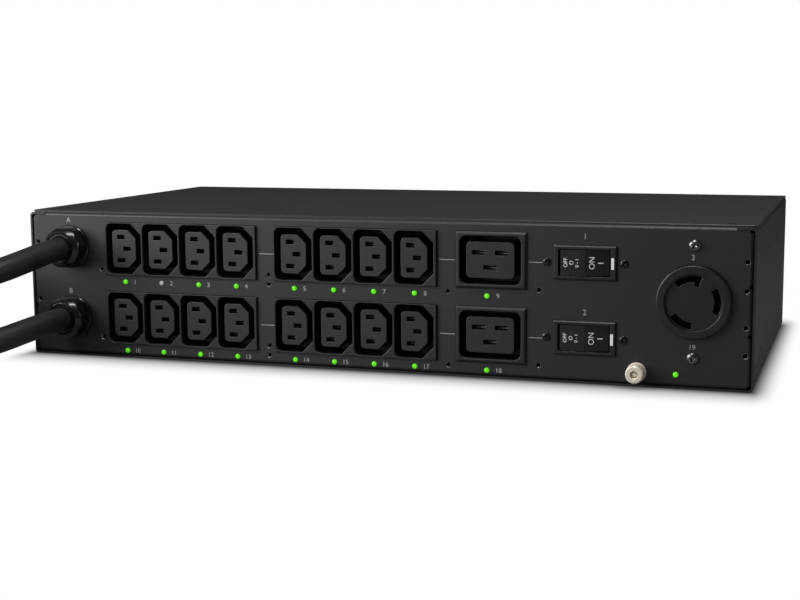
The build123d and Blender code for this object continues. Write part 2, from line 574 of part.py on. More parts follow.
def outlet_module(x, z, width, bevel, recess, island, centres, slots, slot_size):
    """One moulded outlet strip: a block with a ledge behind the panel, deep recesses, islands with slots."""
    with BuildPart() as module:
        with BuildSketch(face_at(MODULE_FACE)):
            with Locations((x, z)):
                Rectangle(width, STRIP_H)
        extrude(amount=-(MODULE_REAR - MODULE_FACE))
        chamfer(module.faces().sort_by(Axis.Y)[0].outer_wire().edges(), bevel)
        with BuildSketch(face_at(OUTLET_BACK)):
            with Locations((x, z)):
                Rectangle(width + 2 * MODULE_LEDGE, STRIP_H + 2 * MODULE_LEDGE)
        extrude(amount=-MODULE_LEDGE_T)
        with BuildSketch(face_at(MODULE_FACE)):
            for centre in centres:
                add(recess.moved(Location((centre, z))))
        extrude(amount=-RECESS_DEPTH, mode=Mode.SUBTRACT)
        rims = module.faces().sort_by(Axis.Y)[0].inner_wires()
        chamfer([edge for rim in rims for edge in rim.edges()], RIM_BEVEL)
        with BuildSketch(face_at(ISLAND_FACE)):
            for centre in centres:
                add(island.moved(Location((centre, z))))
        extrude(amount=-(RECESS_DEPTH - ISLAND_LOWER))
        with BuildSketch(face_at(ISLAND_FACE)):
            with Locations(*slots):
                Rectangle(*slot_size)
        extrude(amount=-SLOT_DEPTH, mode=Mode.SUBTRACT)
        with BuildSketch(face_at(ISLAND_FACE)):
            with Locations(*slots):
                Rectangle(CONTACT_TAB[0] + 2 * TAB_HOLE_PLAY, CONTACT_TAB[1] + 2 * TAB_HOLE_PLAY)
        extrude(amount=-MODULE_DEPTH * 2, mode=Mode.SUBTRACT)
    return module


SMALL_RECESS_FACE = cut_corner_outline(*SMALL_RECESS)
SMALL_ISLAND_FACE = cut_corner_outline(*SMALL_ISLAND)
with BuildSketch() as big_recess:
    RectangleRounded(*BIG_RECESS)
with BuildSketch() as big_island:
    RectangleRounded(*BIG_ISLAND)

# The four strips, left to right along the upper row and then the lower row
for number, (z, x) in enumerate([(z, x) for z in MODULE_Z for x in STRIP_X], start=1):
    centres = strip_sockets(x)
    slots = [slot for centre in centres for slot in small_slots(centre, z)]
    strip = outlet_module(x, z, STRIP_W, STRIP_BEVEL, SMALL_RECESS_FACE, SMALL_ISLAND_FACE,
                          centres, slots, SMALL_SLOT)
    write(f"c13_module_{number}", strip)

for number, z in enumerate(MODULE_Z, start=1):
    big = outlet_module(BIG_X, z, BIG_W, BIG_BEVEL, big_recess.sketch, big_island.sketch, [BIG_SOCKET_X],
                        big_slots(BIG_SOCKET_X, z), BIG_SLOT)
    write(f"c19_module_{number}", big)

# Sprung contacts in the slots: two leaves and a tab through the rear wall to the board
SMALL_PLACES = [s for z in MODULE_Z for x in STRIP_X for c in strip_sockets(x) for s in small_slots(c, z)]
BIG_PLACES = [s for z in MODULE_Z for s in big_slots(BIG_SOCKET_X, z)]
CONTACT_FRONT = ISLAND_FACE + SLOT_DEPTH - CONTACT_PLAY - CONTACT_LENGTH
with BuildPart() as outlet_contacts:
    for places, slot in ((SMALL_PLACES, SMALL_SLOT), (BIG_PLACES, BIG_SLOT)):
        wide, high = slot[0] - 2 * CONTACT_PLAY, slot[1] - 2 * CONTACT_PLAY
        with Locations(*[(x, CONTACT_FRONT, z) for x, z in places]):
            Box(wide, CONTACT_LENGTH, high, align=(Align.CENTER, Align.MIN, Align.CENTER))
            Box(wide, CONTACT_LENGTH - CONTACT_LEAF, high - 2 * CONTACT_LEAF,
                align=(Align.CENTER, Align.MIN, Align.CENTER), mode=Mode.SUBTRACT)
        with Locations(*[(x, OUTLET_BOARD_FRONT, z) for x, z in places]):
            Box(CONTACT_TAB[0], OUTLET_BOARD_FRONT - CONTACT_FRONT - CONTACT_LENGTH, CONTACT_TAB[1],
                align=(Align.CENTER, Align.MAX, Align.CENTER))
write("outlet_contacts", outlet_contacts)


def lamps(places, y, outward):
    """Round lenses through a panel at y, with a rounded nose on the outside."""
    with BuildPart() as lenses:
        tip_y, turn = y + outward * LAMP_PROUD, (outward * -90, 0, 0)
        with Locations(*[Location((x, tip_y, z), turn) for x, z in places]):
            Cylinder(LAMP_R, LAMP_LENGTH + LAMP_PROUD, align=(Align.CENTER, Align.CENTER, Align.MAX))
        group = lenses.edges().filter_by(GeomType.CIRCLE).group_by(Axis.Y)
        fillet(group[0] if outward < 0 else group[-1], LAMP_PROUD)
    return lenses.part


LIT_LENSES = lamps([p for p in OUTLET_LAMPS if p != UPPER_LAMPS[UNLIT_LAMP]] + [STATUS_LAMP], OUTLET_Y, -1)
UNLIT_LENS = lamps([UPPER_LAMPS[UNLIT_LAMP]], OUTLET_Y, -1)
SOURCE_LENSES = lamps(SOURCE_LAMPS, DISPLAY_Y, 1)
with BuildPart() as lamps_lit:
    add(LIT_LENSES)
    add(SOURCE_LENSES)
write("lamps_lit", lamps_lit)

with BuildPart() as lamp_unlit:
    add(UNLIT_LENS)
write("lamp_unlit", lamp_unlit)

# Narrow boards that carry the lamps
LAMP_BOARD_Y = OUTLET_Y + LAMP_LENGTH
with BuildPart() as lamp_strips:
    start, end = UPPER_LAMPS[0][0] - 8, UPPER_LAMPS[-1][0] + 8
    with Locations(*[((start + end) / 2, LAMP_BOARD_Y, z) for z in LAMP_Z]):
        Box(end - start, STRIP_BOARD[1], STRIP_BOARD[0], align=(Align.CENTER, Align.MIN, Align.CENTER))
    with Locations((STATUS_LAMP[0], LAMP_BOARD_Y, STATUS_LAMP[1])):
        Box(STATUS_BOARD[0], STRIP_BOARD[1], STATUS_BOARD[1], align=(Align.CENTER, Align.MIN, Align.CENTER))
write("lamp_strips", lamp_strips)

# Circuit breakers: a body with a bezel through the panel, and a rocker on its own pin
BEZEL_Y = OUTLET_Y - BREAKER_PROUD
PIVOT_Y = BEZEL_Y + ROCKER_PIVOT_BACK
ROCKER_FACE = BEZEL_Y + ROCKER_SINK
ROCKER_DIP = ROCKER_RIGHT * sin(radians(ROCKER_THROW)) / cos(radians(ROCKER_THROW))
for number, z in enumerate(BREAKER_Z, start=1):
    with BuildPart() as body:
        with BuildSketch(face_at(BEZEL_Y)):
            with Locations((BREAKER_X, z)):
                Rectangle(BREAKER_W, BREAKER_H)
        extrude(amount=-(BREAKER_BACK + BREAKER_PROUD))
        chamfer(body.faces().sort_by(Axis.Y)[0].outer_wire().edges(), 0.6)
        with Locations((BREAKER_X, OUTLET_BACK, z)):
            Box(BREAKER_EAR[0], BREAKER_EAR[2], BREAKER_EAR[1],
                align=(Align.CENTER, Align.MIN, Align.CENTER))
        with BuildSketch(face_at(BEZEL_Y)):
            with Locations((BREAKER_X - (ROCKER_LEFT - ROCKER_RIGHT) / 2, z)):
                Rectangle(ROCKER_LEFT + ROCKER_RIGHT + 4 * ROCKER_GAP + 0.6, ROCKER_H + 2 * ROCKER_GAP)
        extrude(amount=-WELL_DEPTH, mode=Mode.SUBTRACT)
        with Locations((BREAKER_X, PIVOT_Y, z)):
            Cylinder(ROCKER_PIN_R + ROCKER_PIN_PLAY, ROCKER_H + 2 * (ROCKER_PIN_OUT + ROCKER_GAP) + 0.2,
                     mode=Mode.SUBTRACT)
        with Locations(*[Location((BREAKER_X + s * BREAKER_SCREW_X, OUTLET_BACK, z), (90, 0, 0))
                         for s in (-1, 1)]):
            Cylinder(SMALL_SCREW_R + SCREW_PLAY, 4 * BREAKER_EAR[2], mode=Mode.SUBTRACT)
    write(f"breaker_{number}_body", body)
    with BuildPart() as rocker:
        with BuildSketch(Plane.XY.offset(z - ROCKER_H / 2)):
            with Locations((BREAKER_X, 0)):
                Polygon((-ROCKER_LEFT, ROCKER_FACE), (0, ROCKER_FACE),
                        (ROCKER_RIGHT, ROCKER_FACE + ROCKER_DIP),
                        (ROCKER_RIGHT, PIVOT_Y + 1.5),
                        (5.0, BEZEL_Y + ROCKER_BACK), (-5.0, BEZEL_Y + ROCKER_BACK),
                        (-ROCKER_LEFT, PIVOT_Y), align=None)
        extrude(amount=ROCKER_H)
        with Locations((BREAKER_X, PIVOT_Y, z)):
            Cylinder(ROCKER_PIN_R, ROCKER_H + 2 * (ROCKER_PIN_OUT + ROCKER_GAP))
    write(f"breaker_{number}_rocker", rocker)

with BuildPart() as breaker_screws:
    with Locations(*[Location((BREAKER_X + s * BREAKER_SCREW_X, OUTLET_Y, z), (90, 0, 0))
                     for z in BREAKER_Z for s in (-1, 1)]):
        Cylinder(SMALL_HEAD_R, SMALL_HEAD_H, align=(Align.CENTER, Align.CENTER, Align.MIN))
        Cylinder(SMALL_SCREW_R, SCREW_LENGTH, align=(Align.CENTER, Align.CENTER, Align.MAX))
    chamfer(breaker_screws.edges().filter_by(GeomType.CIRCLE).group_by(Axis.Y)[0], 0.5)
write("breaker_screws", breaker_screws)


def arc_slot(inner, outer, start, end):
    """A curved slot about the local origin, between two radii and two angles in degrees."""
    with BuildSketch() as slot:
        with BuildLine():
            far = CenterArc((0, 0), outer, start, end - start)
            near = CenterArc((0, 0), inner, start, end - start)
            Line(far @ 0, near @ 0)
            Line(far @ 1, near @ 1)
        make_face()
    return slot.sketch


# Locking receptacle: a raised ring, a sunk face with three curved slots, a barrel behind the strap
LOCK_FACE_Y = OUTLET_Y - LOCK_PROUD
STRAP_BACK = OUTLET_BACK + STRAP[2]
with BuildPart() as locking_receptacle:
    with BuildSketch(face_at(LOCK_FACE_Y)):
        with Locations((LOCK_X, LOCK_Z)):
            Circle(LOCK_R)
    extrude(amount=-(OUTLET_BACK - LOCK_FACE_Y))
    fillet(locking_receptacle.edges().group_by(Axis.Y)[0], 0.9)
    with BuildSketch(face_at(OUTLET_BACK)):
        with Locations((LOCK_X, LOCK_Z)):
            Circle(LOCK_BARREL_R)
    extrude(amount=-LOCK_BACK)
    with BuildSketch(face_at(STRAP_BACK)):
        with Locations((LOCK_X, LOCK_Z)):
            Circle(LOCK_SHOULDER_R)
    extrude(amount=-LOCK_SHOULDER_T)
    with BuildSketch(face_at(LOCK_FACE_Y)):
        with Locations((LOCK_X, LOCK_Z)):
            Circle(LOCK_FACE_R)
    extrude(amount=-LOCK_SINK, mode=Mode.SUBTRACT)
    with BuildSketch(face_at(LOCK_FACE_Y + LOCK_SINK)):
        for start, end in LOCK_SLOTS:
            add(arc_slot(LOCK_SLOT_IN, LOCK_SLOT_OUT, start, end).moved(Location((LOCK_X, LOCK_Z))))
        hook = degrees(LOCK_HOOK[2] / LOCK_SLOT_IN / 2)
        add(arc_slot(LOCK_HOOK[1], LOCK_SLOT_OUT, LOCK_HOOK[0] - hook, LOCK_HOOK[0] + hook)
            .moved(Location((LOCK_X, LOCK_Z))))
    extrude(amount=-LOCK_SLOT_DEPTH, mode=Mode.SUBTRACT)
write("locking_receptacle", locking_receptacle)

with BuildPart() as receptacle_contacts:
    with BuildSketch(face_at(LOCK_FACE_Y + LOCK_SINK + LOCK_CONTACT_SINK)):
        for start, end in LOCK_SLOTS:
            add(arc_slot(LOCK_SLOT_OUT - CONTACT_PLAY - 2 * CONTACT_LEAF, LOCK_SLOT_OUT - CONTACT_PLAY,
                         start + 3, end - 3).moved(Location((LOCK_X, LOCK_Z))))
    extrude(amount=-(LOCK_SLOT_DEPTH - LOCK_CONTACT_SINK))
write("receptacle_contacts", receptacle_contacts)

with BuildPart() as receptacle_strap:
    with BuildSketch(face_at(OUTLET_BACK)):
        with Locations((LOCK_X, LOCK_Z)):
            RectangleRounded(STRAP[1], STRAP[0], 4)
            Circle(LOCK_SHOULDER_R)
            Circle(LOCK_BARREL_R + LOCK_PLAY, mode=Mode.SUBTRACT)
            with Locations((0, LOCK_SCREW_Z), (0, -LOCK_SCREW_Z)):
                Circle(LOCK_SCREW_R + SCREW_PLAY, mode=Mode.SUBTRACT)
    extrude(amount=-STRAP[2])
write("receptacle_strap", receptacle_strap)

with BuildPart() as receptacle_screws:
    with Locations(*[Location((LOCK_X, OUTLET_Y, LOCK_Z + s * LOCK_SCREW_Z), (90, 0, 0)) for s in (-1, 1)]):
        Cylinder(LOCK_SCREW_HEAD_R, LOCK_SCREW_HEAD_H, align=(Align.CENTER, Align.CENTER, Align.MIN))
        Cylinder(LOCK_SCREW_R, SCREW_LENGTH, align=(Align.CENTER, Align.CENTER, Align.MAX))
    fillet(receptacle_screws.edges().filter_by(GeomType.CIRCLE).group_by(Axis.Y)[0], LOCK_SCREW_HEAD_H * 0.7)
write("receptacle_screws", receptacle_screws)

# Bonding terminal: a turned stud with a groove, on a washer
with BuildPart() as ground_terminal:
    with BuildSketch(Plane.XY.offset(GROUND_Z)):
        with BuildLine():
            front, seat = OUTLET_Y - GROUND_PROUD, OUTLET_Y - WASHER_T
            Polyline((GROUND_X, front + 0.9), (GROUND_X + GROUND_TIP_R, front + 0.9),
                     (GROUND_X + GROUND_TIP_R, front + 2.6), (GROUND_X + GROUND_EYE_R, front + 2.6),
                     (GROUND_X + GROUND_EYE_R, front + 0.3), (GROUND_X + GROUND_EYE_R + 0.3, front),
                     (GROUND_X + GROUND_R - 0.6, front), (GROUND_X + GROUND_R, front + 0.6),
                     (GROUND_X + GROUND_R, front + 5.4), (GROUND_X + 3.6, front + 5.4),
                     (GROUND_X + 3.6, seat - 1.6),
                     (GROUND_X + GROUND_R, seat - 1.6), (GROUND_X + GROUND_R, seat),
                     (GROUND_X + GROUND_STUD_R, seat), (GROUND_X + GROUND_STUD_R, OUTLET_BACK),
                     (GROUND_X + 4.4, OUTLET_BACK), (GROUND_X + 4.4, OUTLET_BACK + 3.2),
                     (GROUND_X, OUTLET_BACK + 3.2), close=True)
        make_face()
    revolve(axis=Axis((GROUND_X, 0, GROUND_Z), (0, 1, 0)))
write("ground_terminal", ground_terminal)

with BuildPart() as ground_washer:
    with BuildSketch(face_at(OUTLET_Y)):
        with Locations((GROUND_X, GROUND_Z)):
            Circle(WASHER_R)
            Circle(GROUND_STUD_R + SCREW_PLAY, mode=Mode.SUBTRACT)
    extrude(amount=WASHER_T)
write("ground_washer", ground_washer)

# Cable glands: bodies through the panel, domed nuts outside, locknuts inside
with BuildPart() as gland_bodies:
    with BuildSketch(face_at(OUTLET_Y)):
        with Locations(*[(GLAND_X, z) for z in GLAND_Z]):
            Circle(GLAND_FLANGE_R)
    extrude(amount=GLAND_FLANGE_T)
    chamfer(gland_bodies.edges().group_by(Axis.Y)[0], 0.4)
    with BuildSketch(face_at(OUTLET_Y)):
        with Locations(*[(GLAND_X, z) for z in GLAND_Z]):
            Circle(GLAND_THREAD_R)
    extrude(amount=-GLAND_BACK)
    with BuildSketch(face_at(OUTLET_Y - GLAND_FLANGE_T)):
        with Locations(*[(GLAND_X, z) for z in GLAND_Z]):
            Circle(GLAND_BORE_R)
    extrude(amount=-(GLAND_FLANGE_T + GLAND_BACK), mode=Mode.SUBTRACT)
write("gland_bodies", gland_bodies)

NUT_MOUTH_Y = OUTLET_Y - GLAND_NUT_OUT
with BuildPart() as gland_nuts:
    for z in GLAND_Z:
        with BuildSketch(Plane.XY.offset(z)):
            base = OUTLET_Y - GLAND_FLANGE_T
            with BuildLine():
                Line((GLAND_X + GLAND_BORE_R, base), (GLAND_X + GLAND_NUT_R, base))
                Line((GLAND_X + GLAND_NUT_R, base), (GLAND_X + GLAND_NUT_R, base - 5.5))
                ThreePointArc((GLAND_X + GLAND_NUT_R, base - 5.5),
                              (GLAND_X + GLAND_NUT_R - 1.1, NUT_MOUTH_Y + 2.2),
                              (GLAND_X + GLAND_MOUTH_R, NUT_MOUTH_Y))
                Polyline((GLAND_X + GLAND_MOUTH_R, NUT_MOUTH_Y),
                         (GLAND_X + GLAND_MOUTH_R - 0.9, NUT_MOUTH_Y + 0.6),
                         (GLAND_X + GLAND_BORE_R, NUT_MOUTH_Y + 0.6))
                Line((GLAND_X + GLAND_BORE_R, NUT_MOUTH_Y + 0.6), (GLAND_X + GLAND_BORE_R, base))
            make_face()
        revolve(axis=Axis((GLAND_X, 0, z), (0, 1, 0)))
    with BuildSketch(face_at(OUTLET_Y - GLAND_FLANGE_T)):
        with Locations(*[(GLAND_X, z) for z in GLAND_Z]):
            RegularPolygon(GLAND_NUT_FLATS / 2, 6, major_radius=False)
    extrude(amount=GLAND_NUT_OUT, mode=Mode.INTERSECT)
write("gland_nuts", gland_nuts)

with BuildPart() as gland_locknuts:
    with BuildSketch(face_at(OUTLET_BACK)):
        with Locations(*[(GLAND_X, z) for z in GLAND_Z]):
            RegularPolygon(LOCKNUT_FLATS / 2, 6, major_radius=False)
            Circle(GLAND_THREAD_R + SCREW_PLAY, mode=Mode.SUBTRACT)
    extrude(amount=-LOCKNUT_T)
write("gland_locknuts", gland_locknuts)

# Leads: the stretch from the gland to the coil, and the stretch from the coil to the plug
LEAD_A_ROUTE = [
    (GLAND_X, LEAD_START, GLAND_Z[0]), (GLAND_X, -136.0, GLAND_Z[0]), (-189.3, -163.0, 63.2),
    (-191.0, -192.0, 59.5),
    (-204.0, -224.0, 54.5), (-230.0, -250.0, 49.0), (-263.0, -264.5, 43.5), (-298.0, -266.0, 39.5),
    (COIL_X, COIL_Y - COIL_OUTER_TURN, COIL_A_Z + LEAD_R),
]
LEAD_B_ROUTE = [
    (GLAND_X, LEAD_START, GLAND_Z[1]), (GLAND_X, -136.0, GLAND_Z[1]), (-190.5, -163.0, 22.5),
    (-194.0, -192.0, 19.5),
    (-208.0, -223.0, 15.5), (-233.0, -248.0, 12.0), (-265.0, -262.0, 9.4), (-299.0, -265.0, 8.4),
    (COIL_X, COIL_Y - COIL_OUTER_TURN, COIL_B_Z + LEAD_R),
]
LEAD_A_END = [
    (COIL_X, COIL_Y - COIL_OUTER_TURN, COIL_A_Z + 3 * LEAD_R),
    (-364.0, -259.5, 54.5), (-391.0, -245.0, 63.0), (-409.5, -221.5, 73.0),
    (-417.5, -196.0, 79.5), (-418.5, -172.0, COILS_TOP + PLUG_R + PLUG_LIFT),
]
LEAD_B_END = [
    (COIL_X - COIL_OUTER_TURN, COIL_Y, COIL_B_Z + 3 * LEAD_R), (-427.0, -147.0, 22.8),
    (-428.2, -122.0, 22.8), (-428.0, -98.0, PLUG_R + PLUG_LIFT),
]


def lead_tube(route):
    """Straight runs joined by arcs as large as their two runs allow."""
    points = [Vector(*p) for p in route]
    radii = []
    for before, at, after in zip(points, points[1:], points[2:]):
        turn = radians((at - before).get_angle(after - at))
        shorter = min((at - before).length, (after - at).length)
        radii.append(0.45 * shorter * cos(turn / 2) / sin(turn / 2))
    print("lead radii", [round(r) for r in radii], "least", round(min(radii) / LEAD_D, 1), "diameters")
    with BuildPart() as tube:
        with BuildLine() as line:
            FilletPolyline(*route, radius=radii)
        with BuildSketch(Plane(origin=line.line @ 0, z_dir=line.line % 0)):
            Circle(LEAD_R)
        sweep()
    return tube


def lead_coil(base):
    """The outer shape of one neat coil, standing on base."""
    with BuildPart() as coil:
        with BuildSketch(Plane.XZ.offset(-COIL_Y)):
            with Locations((COIL_X + COIL_MID_R, base + COIL_H / 2)):
                RectangleRounded(COIL_ROWS * LEAD_D, COIL_H, LEAD_R * 0.7)
        revolve(axis=Axis((COIL_X, COIL_Y, 0), (0, 0, 1)))
    return coil


write("lead_a_tube", lead_tube(LEAD_A_ROUTE))
write("lead_b_tube", lead_tube(LEAD_B_ROUTE))
write("lead_a_tail", lead_tube(LEAD_A_END))
write("lead_b_tail", lead_tube(LEAD_B_END))
write("lead_a_coil", lead_coil(COIL_A_Z))
write("lead_b_coil", lead_coil(COIL_B_Z))

# Straps round both coils
with BuildPart() as lead_ties:
    for angle in TIE_ANGLES:
        along = Vector(cos(radians(angle)), sin(radians(angle)), 0)
        across = Vector(-sin(radians(angle)), cos(radians(angle)), 0)
        centre = Vector(COIL_X, COIL_Y, 0) + along * COIL_MID_R - across * (TIE_W / 2)
        middle = centre + Vector(0, 0, (COIL_LIFT + COILS_TOP) / 2)
        with BuildSketch(Plane(origin=middle, x_dir=along, z_dir=across)):
            wide = COIL_ROWS * LEAD_D + 2 * TIE_PLAY
            tall = 2 * COIL_H + 2 * TIE_PLAY
            RectangleRounded(wide + 2 * TIE_T, tall + 2 * TIE_T, LEAD_R * 0.7 + TIE_T)
            RectangleRounded(wide, tall, LEAD_R * 0.7, mode=Mode.SUBTRACT)
        extrude(amount=TIE_W)
write("lead_ties", lead_ties)

# Locking plugs on the ends of the leads, their blades towards +Y
for name, end in (("a", LEAD_A_END[-1]), ("b", LEAD_B_END[-1])):
    x, y, z = end
    with BuildPart() as plug_shell:
        with BuildSketch(Plane.XY.offset(z)):
            with BuildLine():
                Polyline((x, y), (x + PLUG_TAIL_R, y), (x + PLUG_TAIL_R, y + PLUG_TAIL),
                         (x + PLUG_R, y + PLUG_TAIL + PLUG_TAPER),
                         (x + PLUG_R, y + PLUG_TAIL + PLUG_TAPER + PLUG_BARREL),
                         (x, y + PLUG_TAIL + PLUG_TAPER + PLUG_BARREL), close=True)
            make_face()
        revolve(axis=Axis((x, 0, z), (0, 1, 0)))
        fillet(plug_shell.edges().filter_by(GeomType.CIRCLE).group_by(Axis.Y)[-1], 2.5)
        fillet(plug_shell.edges().filter_by(GeomType.CIRCLE).group_by(Axis.Y)[0], 2.0)
        first_groove = y + PLUG_TAIL + PLUG_TAPER + PLUG_GROOVE_START
        for groove in range(PLUG_GROOVES):
            with Locations(Location((x, first_groove + groove * PLUG_GROOVE_PITCH, z), (-90, 0, 0))):
                Cylinder(PLUG_R + 1, PLUG_GROOVE_W, align=(Align.CENTER, Align.CENTER, Align.MIN),
                         mode=Mode.SUBTRACT)
                Cylinder(PLUG_R - PLUG_GROOVE_DEPTH, PLUG_GROOVE_W,
                         align=(Align.CENTER, Align.CENTER, Align.MIN))
    write(f"plug_{name}_shell", plug_shell)
    face_y = y + PLUG_TAIL + PLUG_TAPER + PLUG_BARREL
    with BuildPart() as plug_face:
        with BuildSketch(face_at(face_y)):
            with Locations((x, z)):
                Circle(PLUG_FACE_R - 2.5)
        extrude(amount=-PLUG_FACE_T)
        chamfer(plug_face.edges().group_by(Axis.Y)[-1], 0.8)
    write(f"plug_{name}_face", plug_face)
    with BuildPart() as plug_blades:
        with BuildSketch(face_at(face_y + PLUG_FACE_T)):
            for start, end_angle in LOCK_SLOTS:
                middle = (LOCK_SLOT_IN + LOCK_SLOT_OUT) / 2
                add(arc_slot(middle - PLUG_BLADE_T / 2, middle + PLUG_BLADE_T / 2, 180 - end_angle + 6,
                             180 - start - 6).moved(Location((x, z))))
        extrude(amount=-PLUG_BLADE)
    write(f"plug_{name}_blades", plug_blades)

# Board behind the outlets, its spacers between the outlets, and its relays
SPACER_OFF = MODULE_LEDGE + SPACER_PLAY + SPACER_R
SPACER_X = (STRIP_X[0] - STRIP_W / 2 - SPACER_OFF, (STRIP_X[0] + STRIP_X[1]) / 2,
            (STRIP_X[1] + STRIP_W / 2 + BIG_X - BIG_W / 2) / 2, BIG_X + BIG_W / 2 + SPACER_OFF)
BOARD_FROM, BOARD_TO = SPACER_X[0] - BOARD_MARGIN, SPACER_X[-1] + BOARD_MARGIN
BOARD_MID = (BOARD_FROM + BOARD_TO) / 2
with BuildPart() as outlet_board:
    with Locations((BOARD_MID, OUTLET_BOARD_FRONT, HEIGHT / 2)):
        Box(BOARD_TO - BOARD_FROM, BOARD_T, HEIGHT - 2 * OUTLET_BOARD_INSET,
            align=(Align.CENTER, Align.MIN, Align.CENTER))
write("outlet_board", outlet_board)

RELAY_PITCH_X = (BOARD_TO - BOARD_FROM - 2 * RELAY_MARGIN) / RELAYS_A_ROW
RELAY_XZ = [(BOARD_FROM + RELAY_MARGIN + (i + 0.5) * RELAY_PITCH_X, HEIGHT / 2 + (j - 1) * RELAY_PITCH_Z)
            for i in range(RELAYS_A_ROW) for j in range(RELAY_ROWS)]
with BuildPart() as outlet_relays:
    with Locations(*[(x, OUTLET_BOARD_FRONT + BOARD_T, z) for x, z in RELAY_XZ]):
        Box(RELAY[0], RELAY[1], RELAY[2], align=(Align.CENTER, Align.MIN, Align.CENTER))
write("outlet_relays", outlet_relays)


def corners(x_from, x_to, y_from, y_to, inset=STANDOFF_INSET):
    """The places of a board's standoffs: its corners, and the middle of its two long sides."""
    xs = (x_from + inset, (x_from + x_to) / 2, x_to - inset)
    return [(x, y) for x in xs for y in (y_from + inset, y_to - inset)]


STANDOFFS = corners(*POWER_BOARD) + corners(*CONTROL_BOARD)
with BuildPart() as board_spacers:
    with Locations(*[Location((x, OUTLET_BACK, z), (-90, 0, 0)) for x in SPACER_X for z in MODULE_Z]):
        Cylinder(SPACER_R, OUTLET_BOARD_FRONT - OUTLET_BACK, align=(Align.CENTER, Align.CENTER, Align.MIN))
    with Locations(*[(x, y, SHEET) for x, y in STANDOFFS]):
        Cylinder(STANDOFF_R, FLOOR_BOARD_LIFT, align=(Align.CENTER, Align.CENTER, Align.MIN))
write("board_spacers", board_spacers)

with BuildPart() as insulating_sheet:
    x_from, x_to, y_from, y_to = POWER_BOARD
    with Locations(((x_from + x_to) / 2, (y_from + y_to) / 2, SHEET)):
        Box(x_to - x_from, y_to - y_from, INSULATOR_T, align=(Align.CENTER, Align.CENTER, Align.MIN))
    with Locations(*[(x, y, SHEET) for x, y in corners(*POWER_BOARD)]):
        Cylinder(STANDOFF_R + WINDOW_PLAY, 4, mode=Mode.SUBTRACT)
write("insulating_sheet", insulating_sheet)


def floor_board(x_from, x_to, y_from, y_to):
    """A circuit board standing on the base's standoffs."""
    with BuildPart() as board:
        with Locations(((x_from + x_to) / 2, (y_from + y_to) / 2, FLOOR_BOARD_Z)):
            Box(x_to - x_from, y_to - y_from, BOARD_T, align=(Align.CENTER, Align.CENTER, Align.MIN))
    return board


write("power_board", floor_board(*POWER_BOARD))
write("control_board", floor_board(*CONTROL_BOARD))

# Heat sink: one extrusion with a thick wall that takes the switches, and thin fins
with BuildPart() as heat_sink:
    with BuildSketch(Plane.YZ.offset(SINK_X[0])):
        y_from, y_to = SINK_Y
        with Locations((y_from, FLOOR_BOARD_TOP)):
            Rectangle(y_to - y_from, SINK_BASE, align=(Align.MIN, Align.MIN))
            Rectangle(SINK_WALL, SINK_HEIGHT, align=(Align.MIN, Align.MIN))
        pitch = (y_to - FIN_T - y_from - SINK_WALL) / FIN_COUNT
        with Locations(*[(y_from + SINK_WALL + (i + 1) * pitch, FLOOR_BOARD_TOP) for i in range(FIN_COUNT)]):
            Rectangle(FIN_T, SINK_HEIGHT, align=(Align.MIN, Align.MIN))
    extrude(amount=SINK_X[1] - SINK_X[0])
write("heat_sink", heat_sink)

THYRISTOR_PITCH = (SINK_X[1] - SINK_X[0]) / THYRISTOR_COUNT
THYRISTOR_X = [SINK_X[0] + (i + 0.5) * THYRISTOR_PITCH for i in range(THYRISTOR_COUNT)]
with BuildPart() as thyristors:
    with Locations(*[(x, SINK_Y[0], FLOOR_BOARD_TOP + THYRISTOR_LEGS[2]) for x in THYRISTOR_X]):
        Box(*THYRISTOR, align=(Align.CENTER, Align.MAX, Align.MIN))
    with Locations(*[(x + s * 5.0, SINK_Y[0] - THYRISTOR[1] / 2, FLOOR_BOARD_TOP) for x in THYRISTOR_X
                     for s in (-1, 0, 1)]):
        Box(*THYRISTOR_LEGS, align=(Align.CENTER, Align.CENTER, Align.MIN))
write("thyristors", thyristors)

with BuildPart() as current_sensors:
    with Locations(*[(x, y, FLOOR_BOARD_TOP) for x, y in SENSOR_XY]):
        Box(*SENSOR, align=(Align.CENTER, Align.CENTER, Align.MIN))
    with Locations(*[Location((x, y, FLOOR_BOARD_TOP + SENSOR[2] / 2), (90, 0, 0)) for x, y in SENSOR_XY]):
        Cylinder(SENSOR_BORE_R, 2 * SENSOR[1], mode=Mode.SUBTRACT)
write("current_sensors", current_sensors)

# Supply transformer: laminated core and its winding round the middle leg
with BuildPart() as transformer_core:
    with BuildSketch(face_at(CORE_XY[1] + CORE[1] / 2)):
        with Locations((CORE_XY[0], FLOOR_BOARD_TOP)):
            Rectangle(CORE[0], CORE[2], align=(Align.CENTER, Align.MIN))
        with Locations(*[(CORE_XY[0] + s * (CORE_LEG + 6.0) / 2 + s * 1.5, FLOOR_BOARD_TOP + CORE[2] / 2)
                         for s in (-1, 1)]):
            Rectangle(8.0, COIL_WINDING[2] + 2 * WINDOW_PLAY, mode=Mode.SUBTRACT)
    extrude(amount=CORE[1])
write("transformer_core", transformer_core)

with BuildPart() as transformer_coil:
    with Locations((CORE_XY[0], CORE_XY[1], FLOOR_BOARD_TOP + CORE[2] / 2)):
        Box(COIL_WINDING[0] + 2, COIL_WINDING[1], COIL_WINDING[2])
        Box(CORE_LEG + 1.4, CORE[1] + 2 * WINDOW_PLAY, COIL_WINDING[2], mode=Mode.SUBTRACT)
write("transformer_coil", transformer_coil)

